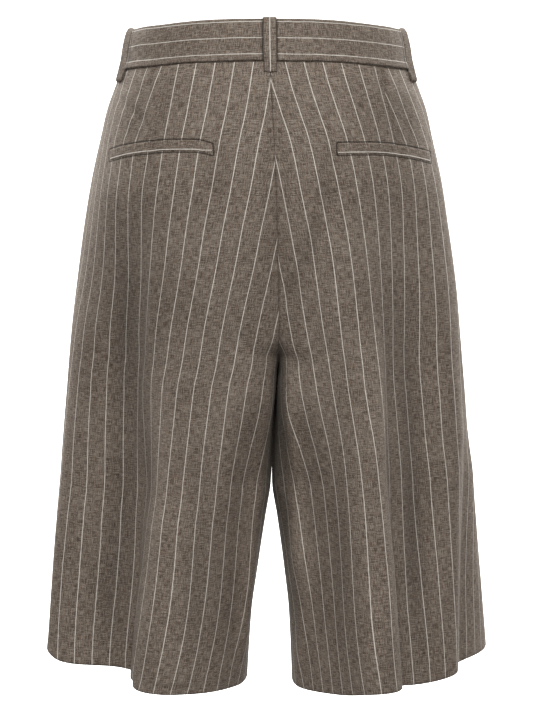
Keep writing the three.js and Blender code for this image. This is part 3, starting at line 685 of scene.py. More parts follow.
def suiting(name):
    """Striped suiting, drawn on the piece's own map in metres: across the grain, and along it."""
    material, tree, shader = new_material(name)

    def maths(operation, *values):
        return add_node(tree, "ShaderNodeMath", dict(enumerate(values)), operation=operation).outputs[0]

    def spread(value, low, high, first=0.0, last=1.0, **settings):
        ends = {"From Min": low, "From Max": high, "To Min": first, "To Max": last}
        return add_node(tree, "ShaderNodeMapRange", {"Value": value, **ends}, **settings).outputs[0]

    def field(key):
        return add_node(tree, "ShaderNodeAttribute", attribute_name=key).outputs["Fac"]

    def blend(share, below, code):
        return add_node(tree, "ShaderNodeMix", {"Factor": share, 6: below, 7: hex_colour(code)},
                        data_type="RGBA").outputs[2]

    layout = add_node(tree, "ShaderNodeUVMap", uv_map="cloth")
    split = add_node(tree, "ShaderNodeSeparateXYZ", {0: layout.outputs[0]}).outputs
    past_dart, take = field("dart"), field("take")
    jump = maths("MULTIPLY", maths("GREATER_THAN", past_dart, 0.0), take)
    across = maths("ADD", split[0], jump)
    cloth = add_node(tree, "ShaderNodeCombineXYZ", {0: across, 1: split[1]}).outputs[0]

    def noise(width, length, detail=2.0):
        scaled = add_node(tree, "ShaderNodeVectorMath", {0: cloth, 1: (1 / width, 1 / length, 1)},
                          operation="MULTIPLY")
        settings = {"Vector": scaled.outputs[0], "Scale": 1.0, "Detail": detail, "Roughness": 0.55}
        return add_node(tree, "ShaderNodeTexNoise", settings, noise_dimensions="2D").outputs["Fac"]

    streaks = maths("ADD", noise(THREAD, STREAK, 1.0), noise(STREAK, THREAD, 1.0))
    mixed = maths("MULTIPLY_ADD", noise(SPECK, SPECK, 0.0), SPECK_WEIGHT, streaks)
    cloudy = maths("MULTIPLY_ADD", noise(0.045, 0.06), CLOUD_WEIGHT, mixed)
    ramp = add_node(tree, "ShaderNodeValToRGB", {"Fac": spread(cloudy, *TONE_RANGE)})
    colours = ramp.color_ramp.elements
    colours[0].color = hex_colour(CLOTH_DARK)
    colours[1].color = hex_colour(CLOTH_LIGHT)
    colours.new(0.5).color = hex_colour(CLOTH_MID)
    warm = spread(noise(0.0012, 0.006, 1.0), 0.60, 0.74, 0.0, 0.24)
    dyed = blend(warm, ramp.outputs[0], WARM_FIBRE)

    wander = maths("MULTIPLY_ADD", noise(0.004, 0.02, 1.0), STRIPE_WANDER, across)
    pitch = PITCH * MM
    turns = maths("MULTIPLY_ADD", wander, 1 / pitch, 0.5 - STRIPE_WANDER / 2 / pitch)
    away = maths("MULTIPLY", maths("ABSOLUTE", maths("SUBTRACT", maths("FRACT", turns), 0.5)), PITCH)
    stripe = spread(away, STRIPE_HALF - 0.2, STRIPE_HALF + 0.3, 1.0, 0.0, interpolation_type="SMOOTHSTEP")
    thread = spread(noise(0.0016, 0.0022), 0.3, 0.62, 0.62, 1.0)
    woven = maths("MULTIPLY", stripe, maths("SUBTRACT", 1.0, field("plain")))
    striped = blend(maths("MULTIPLY", woven, thread), dyed, STRIPE_COLOUR)

    # dark lines: the seam lines, and painted shadow beside and along the belt loops
    seam_and_shade_line = spread(field("seam_and_shade_mask"), 0.82, 0.97, 0.0, 0.75)
    dart_line = maths("MULTIPLY", spread(maths("ABSOLUTE", past_dart), 0.2, 0.7, 0.2, 0.0),
                      maths("GREATER_THAN", take, 0.0006))
    # painted shadow line on the panel round the welt
    from_welt = field("welt")
    welt_edge = spread(from_welt, 0.0006, 0.0019, 0.85, 0.0, interpolation_type="SMOOTHSTEP")
    welt_shadow_line = maths("MULTIPLY", welt_edge, maths("GREATER_THAN", from_welt, 0.00001))
    dark = maths("MAXIMUM", maths("MAXIMUM", seam_and_shade_line, dart_line), welt_shadow_line)
    shaded = blend(dark, striped, SHADE_COLOUR)
    # painted shade: the colour darkens with the fold depth in troughs and lightens on ridges
    deep = spread(field("painted_shade_depth"), -4.0, 8.0, 1.2, 0.4)
    shade_painted = add_node(tree, "ShaderNodeVectorMath", {0: shaded, "Scale": deep}, operation="SCALE")
    tree.links.new(shade_painted.outputs[0], shader.inputs["Base Color"])

    relief = maths("MULTIPLY_ADD", stripe, 0.5, mixed)
    sunk = maths("MULTIPLY_ADD", dark, -2.0, relief)
    bump = add_node(tree, "ShaderNodeBump", {"Height": sunk, "Strength": 0.35, "Distance": 0.0004})
    tree.links.new(bump.outputs[0], shader.inputs["Normal"])
    finish = {"Roughness": 0.88, "Specular IOR Level": 0.25, "Sheen Weight": 0.12, "Sheen Roughness": 0.45,
              "Sheen Tint": hex_colour(SHEEN_COLOUR)}
    for key, value in finish.items():
        shader.inputs[key].default_value = value
    return material


suiting_cloth = suiting("wool_suiting_pinstripe")
print("material:", suiting_cloth.name, "nodes", len(suiting_cloth.node_tree.nodes))

# %% [markdown]
# ## A sheet from a grid
# Every cloth piece starts as a flat grid and each of its points is moved to its place on the garment.
# The grid keeps its map in millimetres of cloth, which the material reads. Solidify then gives the
# thickness, inwards.


# %% Sheet helper
def cloth_sheet(name, places, layout, fields=None, thickness=1.2, flip=False, closed=False):
    """A sheet from rows of points, with its map and its named values, as an object at the origin."""
    rows, columns = places.shape[:2]
    mesh = bmesh.new()
    bmesh.ops.create_grid(mesh, x_segments=columns - 1, y_segments=rows - 1, size=1)
    mesh.verts.ensure_lookup_table()
    spots = np.array([v.co[:2] for v in mesh.verts])
    column = np.rint((spots[:, 0] + 1) / 2 * (columns - 1)).astype(int)
    row = np.rint((spots[:, 1] + 1) / 2 * (rows - 1)).astype(int)
    for vertex, place in zip(mesh.verts, places[row, column] * MM):
        vertex.co = place
    uv_layer = mesh.loops.layers.uv.new("cloth")
    spread = layout[row, column] * MM
    for face in mesh.faces:
        for loop in face.loops:
            loop[uv_layer].uv = spread[loop.vert.index]
    layers = {key: mesh.verts.layers.float.new(key) for key in (fields or {})}
    for key, layer in layers.items():
        values = fields[key][row, column]
        for vertex in mesh.verts:
            vertex[layer] = values[vertex.index]
    if flip:
        bmesh.ops.reverse_faces(mesh, faces=mesh.faces)
    if closed:
        bmesh.ops.remove_doubles(mesh, verts=mesh.verts, dist=2e-6)
    piece = mesh_object(name, mesh, suiting_cloth)
    if thickness:
        wall = piece.modifiers.new("cloth_thickness", "SOLIDIFY")
        wall.thickness = thickness * MM
        wall.offset = -1
    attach(piece, "root")
    return piece


def sheet_area(places):
    """Area of a sheet in square millimetres, from its rows of points."""
    a = places[1:, :-1] - places[:-1, :-1]
    b = places[:-1, 1:] - places[:-1, :-1]
    return float(np.linalg.norm(np.cross(a, b), axis=-1).sum())


def seal_ends(piece, merge=0.0):
    """Closes the open ends of a folded strip."""
    mesh = bmesh.new()
    mesh.from_mesh(piece.data)
    if merge:
        bmesh.ops.remove_doubles(mesh, verts=mesh.verts, dist=merge)
    bmesh.ops.holes_fill(mesh, edges=[e for e in mesh.edges if e.is_boundary])
    bmesh.ops.recalc_face_normals(mesh, faces=mesh.faces)
    mesh.to_mesh(piece.data)
    mesh.free()


print("sheet helper ready")

# %% [markdown]
# ## Leg panels
# Two backs and two fronts, cut so that each meets the next at the side seam, the inseam and the seat
# seam. The rows of points close up towards the crotch, where seat seam and inseam meet, so that no row
# is torn there. At each seam the cloth rolls in by half a millimetre or so, which gives the fine line.
# At the hem it turns in and runs up 38 mm inside, blind-stitched, so no stitch shows outside.

# %% Panel rows
CLOTH_THICKNESS = 1.2
FRONT_WAIST_DROP = 14
SIDE_WAIST_DROP = 2.2
WAISTBAND_HEIGHT = 40.5
PANEL_TOP = -40.8
LEVELS = np.array([
    # height away from the seam edge, height at the seam edge
    (-40.8, -40.8), (-62, -62), (-85, -85), (-112, -111), (-145, -142), (-180, -173), (-212, -202),
    (-242, -229), (-270, -254), (-296, -276), (-320, -293), (-342, -304.5), (-362, -312), (-382, -316.3),
    (-402, -318), (-424, -345), (-448, -382), (-475, -425), (-505, -470), (-535, -512), (-565, -550),
    (-592, -584), (-618, -615), (-640, -640),
])
CROTCH_Z = -318
ROW_STEP = 2.9 / FINE
TURN_UP = 38
HEM_BEND = 1.4


def fine_levels():
    """The panel's rows, closer than in the table but through each of its rows."""
    fine = []
    for (a0, e0), (a1, e1) in zip(LEVELS[:-1], LEVELS[1:]):
        count = max(2, math.ceil((a0 - a1) / ROW_STEP))
        for k in np.arange(count) / count:
            fine.append((a0 + (a1 - a0) * k, e0 + (e1 - e0) * k))
    fine.append(tuple(LEVELS[-1]))
    return np.array(fine)


def waist_drop(angle):
    """How far the waist lies below its height at the centre back: it dips at the sides and in front."""
    s = np.sin(angle)
    return -FRONT_WAIST_DROP * (1 - s) / 2 - SIDE_WAIST_DROP * smooth((1 - s) / 0.4) * smooth(1 + s)


def hem_rise(side, angle):
    """How far the hem lies above its lowest level: it rises to the side seam, and a little unevenly."""
    s, c = np.sin(angle), np.cos(angle)
    away = np.where(c < 0, 1, -0.3)
    if side > 0:
        behind = smooth((math.pi + 0.5 - angle) / 0.5)
        uneven = (3 + 1.5 * smooth((angle - 2.0) / 0.3)) * behind
        uneven = uneven + 9 * np.exp(-(((angle - math.pi) / 0.16) ** 2))
    else:
        uneven = 8 * np.exp(-(((angle - 1.57) / 0.33) ** 2))
    side_rise = 12 if side > 0 else 17
    return 3 + side_rise * (1 - s * s) * away + np.where(s < 0, 6 * s * s, 0) + uneven


def level_z(side, level, angle):
    """Height of one level of a panel all round the leg."""
    top = 1 - smooth((-level - WAISTBAND_HEIGHT) / 190)
    bottom = smooth((-level - 480) / 160)
    return level + waist_drop(angle) * top + hem_rise(side, angle) * bottom


def edge_share(angle, start):
    """1 at the seam edge of a panel, and 0 from the middle of the back or front on."""
    turn = np.where(angle > math.pi, 2 * math.pi - angle, angle)
    return np.clip((math.pi / 2 - turn) / np.maximum(math.pi / 2 - start, 1e-6), 0, 1) ** 1.3


print("panel rows:", len(fine_levels()))


# %% Panel maker
def panel_points(side, face, columns):
    """Rows of angles and heights over one panel, evenly spaced along the cloth, and the seam distances."""
    levels = fine_levels()
    near_edge = np.array([0, 0.7, 1.7, 3.2])
    angles, heights, to_edge, to_side = [], [], [], []
    for level, edge in levels:
        start = float(start_angle(side, edge))
        first, last = (start, math.pi) if face > 0 else (math.pi, 2 * math.pi - start)
        trial = np.linspace(first, last, 400)
        z = level_z(side, level, trial) + (edge - level) * edge_share(trial, start)
        total = run_length(draped_point(side, trial, z)[:, :2])
        length = total[-1]
        even = np.linspace(5, length - 5, columns - 8)
        places = np.concatenate([near_edge, even, length - near_edge[::-1]])
        row = np.interp(places, total, trial)
        angles.append(row)
        heights.append(level_z(side, level, row) + (edge - level) * edge_share(row, start))
        ends = (places, length - places) if face > 0 else (length - places, places)
        to_edge.append(ends[0])
        to_side.append(ends[1])
    return [np.array(v) for v in (angles, heights, to_edge, to_side, np.repeat(levels[:, 1:], columns, 1))]


def turned_hem(z, places, normal, layout):
    """Rows of points and of the map that carry the cloth round the hem and up inside the leg."""
    inwards = unit(-normal[-1] * np.array([1, 1, 0]))
    rows, maps = [], []
    for i, a in enumerate(np.linspace(0, math.pi, 7)[1:]):
        down = np.array([0, 0, 1.2 * math.sin(a)])
        rows.append(places[-1] + inwards * HEM_BEND * (1 - math.cos(a)) - down)
        maps.append(layout[-1] - np.array([0, 0.6 * (i + 1)]))
    for k in range(2, 16):
        if z[-1].mean() - z[-1 - k].mean() >= -TURN_UP:
            rows.append(places[-1 - k] - normal[-1 - k] * 2 * HEM_BEND)
            maps.append(2 * layout[-1] - layout[-1 - k] - np.array([0, 3.6]))
    return rows, maps


def leg_panel(side, face, columns, name):
    """One panel, with its seams rolled in, its creases, stripes, pocket line and turned hem."""
    angle, z, to_edge, to_side, edge = panel_points(side, face, columns)
    across = across_at(side, face, angle, z)
    places = draped_point(side, angle, z)
    normal = draped_normal(side, angle, z)
    mid = size_at("mid", z)
    from_middle = side * (places[..., 0] - mid)
    push = crease_depth(side, face, across, z) + cloth_ripple(side, face, across, z)
    push = push * smooth(np.minimum(to_edge, to_side) / 6)
    # the fold depth also sets the painted shade of the colour, darker in troughs
    painted_shade_depth = push
    if face > 0:
        # painted shade between the legs: all of it darkens the colour, a quarter of it dents the cloth
        inner = between_legs_shade(side, from_middle, z)
        painted_shade_depth = push + inner
        push = push + 0.25 * inner * smooth(to_edge / 6)
    roll = 0.8 * np.exp(-((to_edge / 1.4) ** 2)) + 0.7 * np.exp(-((to_side / 1.4) ** 2))
    # the seat seam and the inseam lie in their own planes, and no cloth crosses to the other leg
    at_seam = to_edge < 1e-6
    at_seat = at_seam & (edge > CROTCH_Z)
    x = np.where(at_seat, mid, places[..., 0])
    own_side = mid + side * 0.15
    places[..., 0] = np.where((side * (x - own_side) < 0) & ~at_seat, own_side, x)
    places[..., 1] = np.where(at_seam & ~at_seat, size_at("inseam", z) + face * 0.05, places[..., 1])
    places = places - normal * push[..., None] - normal * np.array([1, 1, 0]) * roll[..., None]
    drift = grain_drift(side, across, z) if face > 0 else 0.02 * np.abs(z) * np.sign(across) + 6
    layout = np.stack([across + drift, z], -1)
    fields = {"seam_and_shade_mask": np.clip(1 - np.minimum(to_edge, to_side) / 6, 0, 1), "painted_shade_depth": painted_shade_depth}
    if face > 0:
        past, take = dart_values(side, across, z)
        # the left dart's last stub of stripe is left off
        stub = (side > 0) & (past > -1.5) & (past < 10) & (take > 0.2) & (take < 9)
        fields.update(welt=beside_welt(side, from_middle, z) * MM, dart=past, take=take * MM,
                      plain=stub.astype(float))
    rows, maps = turned_hem(z, places, normal, layout)
    places = np.concatenate([places, rows])
    layout = np.concatenate([layout, maps])
    fields = {key: np.concatenate([v, np.repeat(v[-1:], len(rows), 0)]) for key, v in fields.items()}
    piece = cloth_sheet(f"{name}_cloth", places, layout, fields, CLOTH_THICKNESS, flip=side > 0)
    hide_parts(name)
    width = float((to_edge + to_side).max())
    length = float((z.max() - z.min()) * 1.01 + TURN_UP + 4)
    print(name, "flat", round(width), "x", round(length), "mm")
    return piece, width, length, sheet_area(places)


BACK_COLUMNS = round(176 * FINE)
FRONT_COLUMNS = round(120 * FINE)
HANDS = ((1, "left"), (-1, "right"))
for side, word in HANDS:
    leg_panel(side, 1, BACK_COLUMNS, f"back_{word}")
    leg_panel(side, -1, FRONT_COLUMNS, f"front_{word}")

# %% [markdown]
# ## Waistband
# Two halves, each folded over at the top edge so that cloth shows inside as well. Only a thin dark line
# of it shows above the belt. Its stripes run along the band.


# %% Waistband halves
BAND_SINK = 1.9


def waistband(side, name):
    """Half a waistband: up the outside from its foot, over the top edge, and down the inside."""
    columns = round(150 * FINE)
    depths = np.concatenate([np.linspace(WAISTBAND_HEIGHT, 1.6, 15), [0.9, 0.35, 0.05]])
    outer, places, layout = [], [], []
    for depth in depths:
        start = float(start_angle(side, -depth))
        angle = np.linspace(start, 2 * math.pi - start, columns)
        z = -depth + waist_drop(angle) - BAND_SINK * smooth((6 - depth) / 6)
        p = draped_point(side, angle, z)
        p[[0, -1], 0] = size_at("mid", z[[0, -1]])
        n = draped_normal(side, angle, z)
        outer.append((p, n, depth))
        places.append(p - n * 0.25 * smooth((1.6 - depth) / 1.6))
        layout.append(np.stack([np.full(columns, 3.0 - depth), across_at(side, 1, angle, z)], -1))
    top, top_normal, _ = outer[-1]
    for a in np.linspace(0, math.pi, 6)[1:]:
        places.append(top - top_normal * 1.3 * (1 - math.cos(a)) + np.array([0, 0, 0.9 * math.sin(a)]))
        layout.append(layout[-1] + np.array([0.6, 0]))
    for p, n, depth in outer[::-1][3:]:
        places.append(p - n * 2 * 1.3)
        layout.append(np.stack([np.full(columns, 5.0 + depth), layout[0][:, 1]], -1))
    piece = cloth_sheet(f"{name}_cloth", np.array(places), np.array(layout), None, 1.0, flip=side < 0)
    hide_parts(name)
    width, length = 2 * WAISTBAND_HEIGHT + 4.0, float(run_length(places[0])[-1])
    print(name, "flat", width, "x", round(length), "mm")
    return piece, width, length


bands = {word: waistband(side, f"waistband_{word}") for side, word in HANDS}

# %% [markdown]
# ## Belt
# The belt is a tube of the same cloth pressed flat, 38.5 mm wide and 2.4 mm thick, with stripes along it.
# Its section is a flat loop with rounded edges, carried round the waist a little outside the band. A
# swept curve would twist at the sides; rows on the waist's own surface don't.

# %% Belt
BELT_WIDTH = 38.5
BELT_TOP = -0.8
BELT_OUT = 0.4
BELT_THICK = 2.4
BELT_PITCH = 15.0
BELT_STRIPE_TOP = 1.4
SIDE_LOOP_ANGLE = math.pi - 0.17
SIDE_LOOP_LEAN = 0.0026
# painted shade of the belt and loops, given as a fold depth that darkens their colour
TRIM_SHADE_DEPTH = 1.4
LOOP_WIDTH = 12.5


def flat_loop(width, thick, corner_steps, face_steps):
    """Closed section of a pressed band: distance down and out, anticlockwise from the top outer face."""
    r = thick / 2
    outer = [(r + (width - thick) * k, thick) for k in np.linspace(0, 1, face_steps)]
    bend = np.linspace(0, math.pi, corner_steps)
    bottom = [(width - r + r * math.sin(a), r + r * math.cos(a)) for a in bend]
    inner = [(width - r - (width - thick) * k, 0) for k in np.linspace(0, 1, max(3, face_steps // 3))]
    top = [(r - r * math.sin(a), r - r * math.cos(a)) for a in bend]
    return outer + bottom[1:] + inner[1:] + top[1:]


def waist_round(count, depth):
    """Sides and angles right round the waist, from the centre back."""
    sides, angles = [], []
    for side in (1, -1):
        start = float(start_angle(side, depth))
        k = np.arange(count) / count
        k = k if side > 0 else 1 - k
        sides += [side] * count
        angles += list(start + (2 * math.pi - 2 * start) * k)
    return np.array(sides), np.array(angles)


def on_waist(sides, angles, z, out):
    """Points right round the waist, at one distance out from the cloth."""
    points = np.zeros((len(sides), 3))
    for side in (1, -1):
        m = sides == side
        level_normal = unit(draped_normal(side, angles[m], z[m]) * np.array([1, 1, 0]))
        points[m] = draped_point(side, angles[m], z[m]) + level_normal * out
    return points


def side_loop_angle(z):
    """Angle of the side loops, which lean forwards going down."""
    return SIDE_LOOP_ANGLE + SIDE_LOOP_LEAN * z


def beside_line(distance):
    """1 on a line, falling to 0 at 9 mm from it."""
    return np.clip(1 - np.abs(distance) / 9, 0, 1)


def belt():
    """The belt round the waist, with a painted shadow line beside each loop that crosses it behind."""
    count = round(230 * FINE)
    section = flat_loop(BELT_WIDTH, BELT_THICK, 6, 16)
    places, layout, beside = [], [], []
    for (down, out), run in zip(section, run_length(np.array(section))):
        depth = BELT_TOP - down
        sides, angles = waist_round(count, depth)
        z = depth + waist_drop(angles)
        turn = np.arange(len(sides)) / len(sides) * 2 * math.pi
        wave = 0.35 * np.sin(7 * turn + 1.2) + 0.25 * np.sin(13 * turn) + 0.2 * np.sin(23 * turn + 2)
        crown = 0.35 * math.sin(math.pi * down / BELT_WIDTH) if out > 1 else 0
        foot = 0.9 * float(smooth((down - BELT_WIDTH + 9) / 9))
        p = on_waist(sides, angles, z, BELT_OUT + out + foot + crown)
        p[:, 2] = z + 0.35 * wave
        places.append(np.concatenate([p, p[:1]]))
        # painted shadow on the belt beside the side loops
        beside.append(np.append(beside_line((side_loop_angle(z) - angles) * 90 - 6.8), 0))
        length = run_length(places[0])
        across = (run - BELT_STRIPE_TOP) * PITCH / BELT_PITCH
        layout.append(np.stack([np.full(len(length), across), length], -1))
    places = np.array(places)
    # painted shadow on the belt beside the back loop, on the back half only
    from_loop = np.abs(places[..., 0] - size_at("mid", places[..., 2])) - LOOP_WIDTH / 2
    loop_shadow = np.maximum(beside_line(from_loop - 0.4), np.array(beside))
    loop_shadow = np.where(places[..., 1] > 0, loop_shadow, 0)
    fields = {"seam_and_shade_mask": loop_shadow, "painted_shade_depth": np.full(loop_shadow.shape, TRIM_SHADE_DEPTH)}
    piece = cloth_sheet("belt_cloth", places, np.array(layout), fields, 0, flip=True, closed=True)
    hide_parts("belt")
    print("belt folded", BELT_WIDTH, "x", round(float(length[-1])), "mm")
    return piece, BELT_WIDTH, float(length[-1])


belt_piece = belt()

# %% [markdown]
# ## Belt loops
# A loop is a strip folded to 12.5 mm, sewn into the top of the band and to the band's foot, standing
# clear of the belt between. It is a flat tube carried along its path, with closed ends.

# %% Loops
LOOP_THICK = 1.8
SEAM_GAP = 0.3
LOOP_OUT = BELT_OUT + BELT_THICK + SEAM_GAP + LOOP_THICK
FRONT_LOOP_X = {1: 88, -1: 82}


def angle_at_x(side, face, x, z):
    """Angle of the place on one face that lies x out from the centre seam."""
    z = np.atleast_1d(np.asarray(z, float))
    h = half_sizes(side, z)
    start = start_angle(side, z)
    low = start if face > 0 else np.full_like(z, math.pi)
    high = np.full_like(z, math.pi) if face > 0 else 2 * math.pi - start

    def nearer(trial):
        here = side * (section_point(side, trial, z, h)[0] - h["mid"])
        return here < x if face > 0 else here > x

    return halving(low, high, nearer)


def rounded_path(corners, count):
    """Even points along a path of straight runs whose corners are rounded off."""
    corners = np.array(corners, float)
    total = run_length(corners)
    fine = np.linspace(0, total[-1], count * 6)
    path = np.stack([np.interp(fine, total, corners[:, i]) for i in range(2)], -1)
    for _ in range(24):
        path[1:-1] = (path[:-2] + 2 * path[1:-1] + path[2:]) / 4
    return path[::6]


BACK_LOOP = (
    # height, distance out from the cloth
    (-0.4, -0.6), (1.0, 0.6), (1.0, LOOP_OUT - 0.9), (-1.6, LOOP_OUT), (-20, LOOP_OUT + 0.5),
    (-38, LOOP_OUT), (-45.5, 3.6), (-50.6, 2.6),
)
SIDE_LOOP = (
    (-1.4, -0.6), (-0.4, 0.6), (-0.4, LOOP_OUT - 1.2), (-3.6, LOOP_OUT), (-20, LOOP_OUT + 0.2), (-38, 4.6),
    (-45, 4.2), (-49.6, 4.0), (-51.2, 2.4), (-49.4, 0.3), (-42, 0.2),
)


def belt_loop(name, side, angle_at, turns, twist, stripe_shift):
    """A folded strip carried along its path, and turned about its length by the twist in radians."""
    path = rounded_path(turns, round(60 * FINE))
    level, out = path[:, 0], path[:, 1]
    angle = np.array([float(np.ravel(angle_at(v))[0]) for v in level])
    base = draped_point(side, angle, level + waist_drop(angle))
    ahead, behind = [draped_point(side, angle + step, base[:, 2]) for step in (0.01, -0.01)]
    along = unit(ahead - behind) * side
    away = np.stack([-along[:, 1], along[:, 0], 0 * along[:, 0]], -1)
    centre = base + away * out[:, None]
    face = np.cross(along, unit(np.gradient(centre, axis=0)))
    face = unit(face * np.sign((face * away).sum(-1).sum()))
    along, face = (along * math.cos(twist) - face * math.sin(twist),
                   face * math.cos(twist) + along * math.sin(twist))
    length = run_length(centre)
    fuller = np.sqrt(np.clip(np.minimum(length, length[-1] - length) / 0.8, 0.02, 1))
    section = flat_loop(LOOP_WIDTH, LOOP_THICK, 5, 8)
    section = np.array(section + section[:1])
    places, layout, dark = [], [], []
    for (down, thick), distance in zip(section, run_length(section)):
        deep = (thick - LOOP_THICK / 2) * fuller - LOOP_THICK / 2
        places.append(centre + along * (down - LOOP_WIDTH / 2) + face * deep[:, None])
        across = distance - LOOP_WIDTH / 2 + LOOP_THICK / 2 + stripe_shift
        layout.append(np.stack([np.full(len(length), across), length], -1))
        # the loop's long edges get painted shade, for the shadow where they stand off the belt
        at_edge = min(down, LOOP_WIDTH - down) < 0.95
        dark.append(np.full(len(length), 0.91 if at_edge else 0.0))
    places, layout = np.array(places), np.array(layout)
    fields = {"seam_and_shade_mask": np.array(dark), "painted_shade_depth": np.full(np.shape(dark), TRIM_SHADE_DEPTH)}
    piece = cloth_sheet(f"{name}_cloth", places, layout, fields, 0, flip=True, closed=True)
    seal_ends(piece)
    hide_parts(name)
    print(name, "folded", LOOP_WIDTH, "x", round(float(length[-1])), "mm")
    return piece, LOOP_WIDTH, float(length[-1])


loops = [belt_loop(f"loop_{place}", *row) for place, *row in (
    # place, side, angle at a height, path, twist, stripe shift
    ("back", 1, lambda v: start_angle(1, v), BACK_LOOP, 0, 0),
    ("side_left", 1, side_loop_angle, SIDE_LOOP, -0.3, 7),
    ("side_right", -1, side_loop_angle, SIDE_LOOP, 0.3, 7),
    ("front_left", 1, lambda v: angle_at_x(1, -1, FRONT_LOOP_X[1], v), BACK_LOOP, 0, 0),
    ("front_right", -1, lambda v: angle_at_x(-1, -1, FRONT_LOOP_X[-1], v), BACK_LOOP, 0, 0),
)]

# %% [markdown]
# ## Pocket welts, fly lap and belt end
# Each of these lies on a panel. A pad is a flat loop section again, carried along the piece and laid
# on the surface, so its edges are folded cloth and not a cut. The welt's stripe runs along it.


# %% Pads on the cloth
def pad(name, side, face, edges, inset, thick, columns, rows, stripe_from, flip, turned=False):
    """A folded strip on the cloth: edges gives its places for shares along and across it."""
    outer_share = np.linspace(0, 1, rows)
    bulge = np.sqrt(np.clip(1 - (2 * np.abs(outer_share - 0.5)) ** 8, 0, 1))
    raised = thick * (0.25 + 0.75 * bulge)
    share = np.concatenate([outer_share, outer_share[::-1], outer_share[:1]])
    height = np.concatenate([raised, np.zeros(rows), raised[:1]])
    along = np.linspace(0, 1, columns)
    ends = np.sqrt(np.clip(1 - (2 * np.abs(along - 0.5)) ** 40, 0, 1))
    places, layout = [], []
    for v, up in zip(share, height):
        x, z = edges(along, np.full(columns, v))
        angle = angle_at_x(side, face, x, z)
        p = draped_point(side, angle, z)
        n = draped_normal(side, angle, z)
        across = across_at(side, face, angle, z)
        push = crease_depth(side, face, across, z) + cloth_ripple(side, face, across, z)
        places.append(p + n * (inset - push + up * (0.3 + 0.7 * ends))[:, None])
        if turned:
            layout.append(np.stack([across + stripe_from, z], -1))
        else:
            top_z = edges(np.maximum(along, 0.11), np.zeros(columns))[1]
            layout.append(np.stack([top_z - z + stripe_from, across], -1))
    piece = cloth_sheet(f"{name}_cloth", np.array(places), np.array(layout), None, 0, flip=flip)
    seal_ends(piece, 1e-6)
    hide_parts(name)
    return piece, float(run_length(places[0])[-1])


def welt_edges(side):
    inner, outer = WELT_INNER[side], WELT_OUTER[side]
    return lambda k, v: (inner + (outer - inner) * k, welt_top(side, k) - WELT_HEIGHT * v)


for side, word in HANDS:
    welt, length = pad(f"welt_back_{word}", side, 1, welt_edges(side), inset=SEAM_GAP, thick=1.5,
                       columns=round(90 * FINE), rows=13, stripe_from=9.2, flip=side > 0)
    print(welt.name, "folded", WELT_HEIGHT, "x", round(length), "mm")

FLY_WIDTH = 34
FLY_LENGTH = 165


def fly_edges(k, v):
    z = PANEL_TOP - FRONT_WAIST_DROP - 1 - FLY_LENGTH * k
    width = FLY_WIDTH * np.sqrt(np.maximum(1 - smooth((k - 0.7) / 0.3) ** 2 * 0.92, 0))
    return 1 + width * v, z


fly, fly_length = pad("fly_lap", 1, -1, fly_edges, inset=SEAM_GAP, thick=1.3, columns=round(90 * FINE),
                      rows=15, stripe_from=6, flip=True, turned=True)


def belt_end_edges(k, v):
    tip = np.where((v < 0.02) | (v > 0.98), 4, 0)
    return 3 + (68 - tip) * k, BELT_TOP - 1 - (BELT_WIDTH - 2) * v - FRONT_WAIST_DROP + 0.4


end, end_length = pad("belt_end", 1, -1, belt_end_edges, inset=BELT_OUT + BELT_THICK + SEAM_GAP, thick=2.0,
                      columns=round(50 * FINE), rows=17, stripe_from=0, flip=True)
print("fly lap and belt end laid")

# %% [markdown]
# ## Buckle
# The slide at the front is a rectangular ring of zinc alloy with a dark matt plating. It is cut from a
# flat ring and rounded with a bevel, which catches light along every edge.

# %% Buckle
BUCKLE_WIDTH = 46
BUCKLE_HEIGHT = 50
BUCKLE_BAR = 6
BUCKLE_DEEP = 3

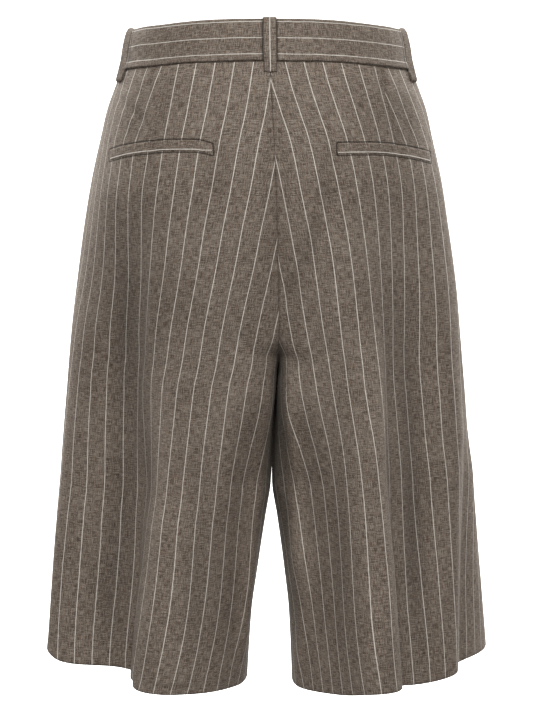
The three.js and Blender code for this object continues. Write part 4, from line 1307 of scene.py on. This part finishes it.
plated, tree, shader = new_material("dark_plated_zinc_alloy")
brushed = add_node(tree, "ShaderNodeTexCoord")
lines = add_node(tree, "ShaderNodeVectorMath", {0: brushed.outputs["Object"], 1: (300, 300, 9000)},
                 operation="MULTIPLY")
grain = add_node(tree, "ShaderNodeTexNoise", {"Vector": lines.outputs[0], "Scale": 1.0, "Detail": 3.0})
gloss = add_node(tree, "ShaderNodeMapRange", {"Value": grain.outputs["Fac"], "To Min": 0.28, "To Max": 0.46})
tree.links.new(gloss.outputs[0], shader.inputs["Roughness"])
relief = {"Height": grain.outputs["Fac"], "Strength": 0.12, "Distance": 0.0001}
bump = add_node(tree, "ShaderNodeBump", relief)
tree.links.new(bump.outputs[0], shader.inputs["Normal"])
shader.inputs["Base Color"].default_value = hex_colour("#5A544D")
shader.inputs["Metallic"].default_value = 1.0


def buckle():
    """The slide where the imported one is, leant like the front of the garment behind it."""
    low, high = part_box("buckle")
    centre_x, centre_z = (low[0] + high[0]) / 2, (low[2] + high[2]) / 2
    z = centre_z / MM
    lean = math.atan2(float(size_at("front", z - 20) - size_at("front", z + 20)), 40)
    mesh = bmesh.new()
    bmesh.ops.create_grid(mesh, x_segments=1, y_segments=1, size=0.5)
    bmesh.ops.scale(mesh, vec=(BUCKLE_WIDTH * MM, BUCKLE_HEIGHT * MM, 1), verts=mesh.verts)
    bars = set(bmesh.ops.inset_region(mesh, faces=mesh.faces, thickness=BUCKLE_BAR * MM,
                                      use_boundary=True, use_even_offset=True)["faces"])
    hole = [f for f in mesh.faces if f not in bars]
    bmesh.ops.delete(mesh, geom=hole, context="FACES")
    grown = bmesh.ops.extrude_face_region(mesh, geom=list(mesh.faces))["geom"]
    bmesh.ops.translate(mesh, verts=[g for g in grown if isinstance(g, bmesh.types.BMVert)],
                        vec=(0, 0, -BUCKLE_DEEP * MM))
    bmesh.ops.recalc_face_normals(mesh, faces=mesh.faces)
    sharp = [e for e in mesh.edges if len(e.link_faces) == 2 and e.calc_face_angle() > 0.5]
    bmesh.ops.bevel(mesh, geom=sharp, offset=0.8 * MM, segments=3, profile=0.5, affect="EDGES", material=-1)
    for vertex in mesh.verts:
        x, y, depth = vertex.co
        vertex.co = (centre_x + x, y * math.sin(lean) - depth, centre_z + y * math.cos(lean))
    bmesh.ops.translate(mesh, verts=mesh.verts, vec=(0, low[1] - min(v.co[1] for v in mesh.verts), 0))
    bmesh.ops.recalc_face_normals(mesh, faces=mesh.faces)
    piece = mesh_object("buckle_slide", mesh, plated)
    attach(piece, "root")
    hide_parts("buckle")
    print("buckle faces", len(piece.data.polygons), "lean", round(math.degrees(lean), 1), "degrees")


buckle()
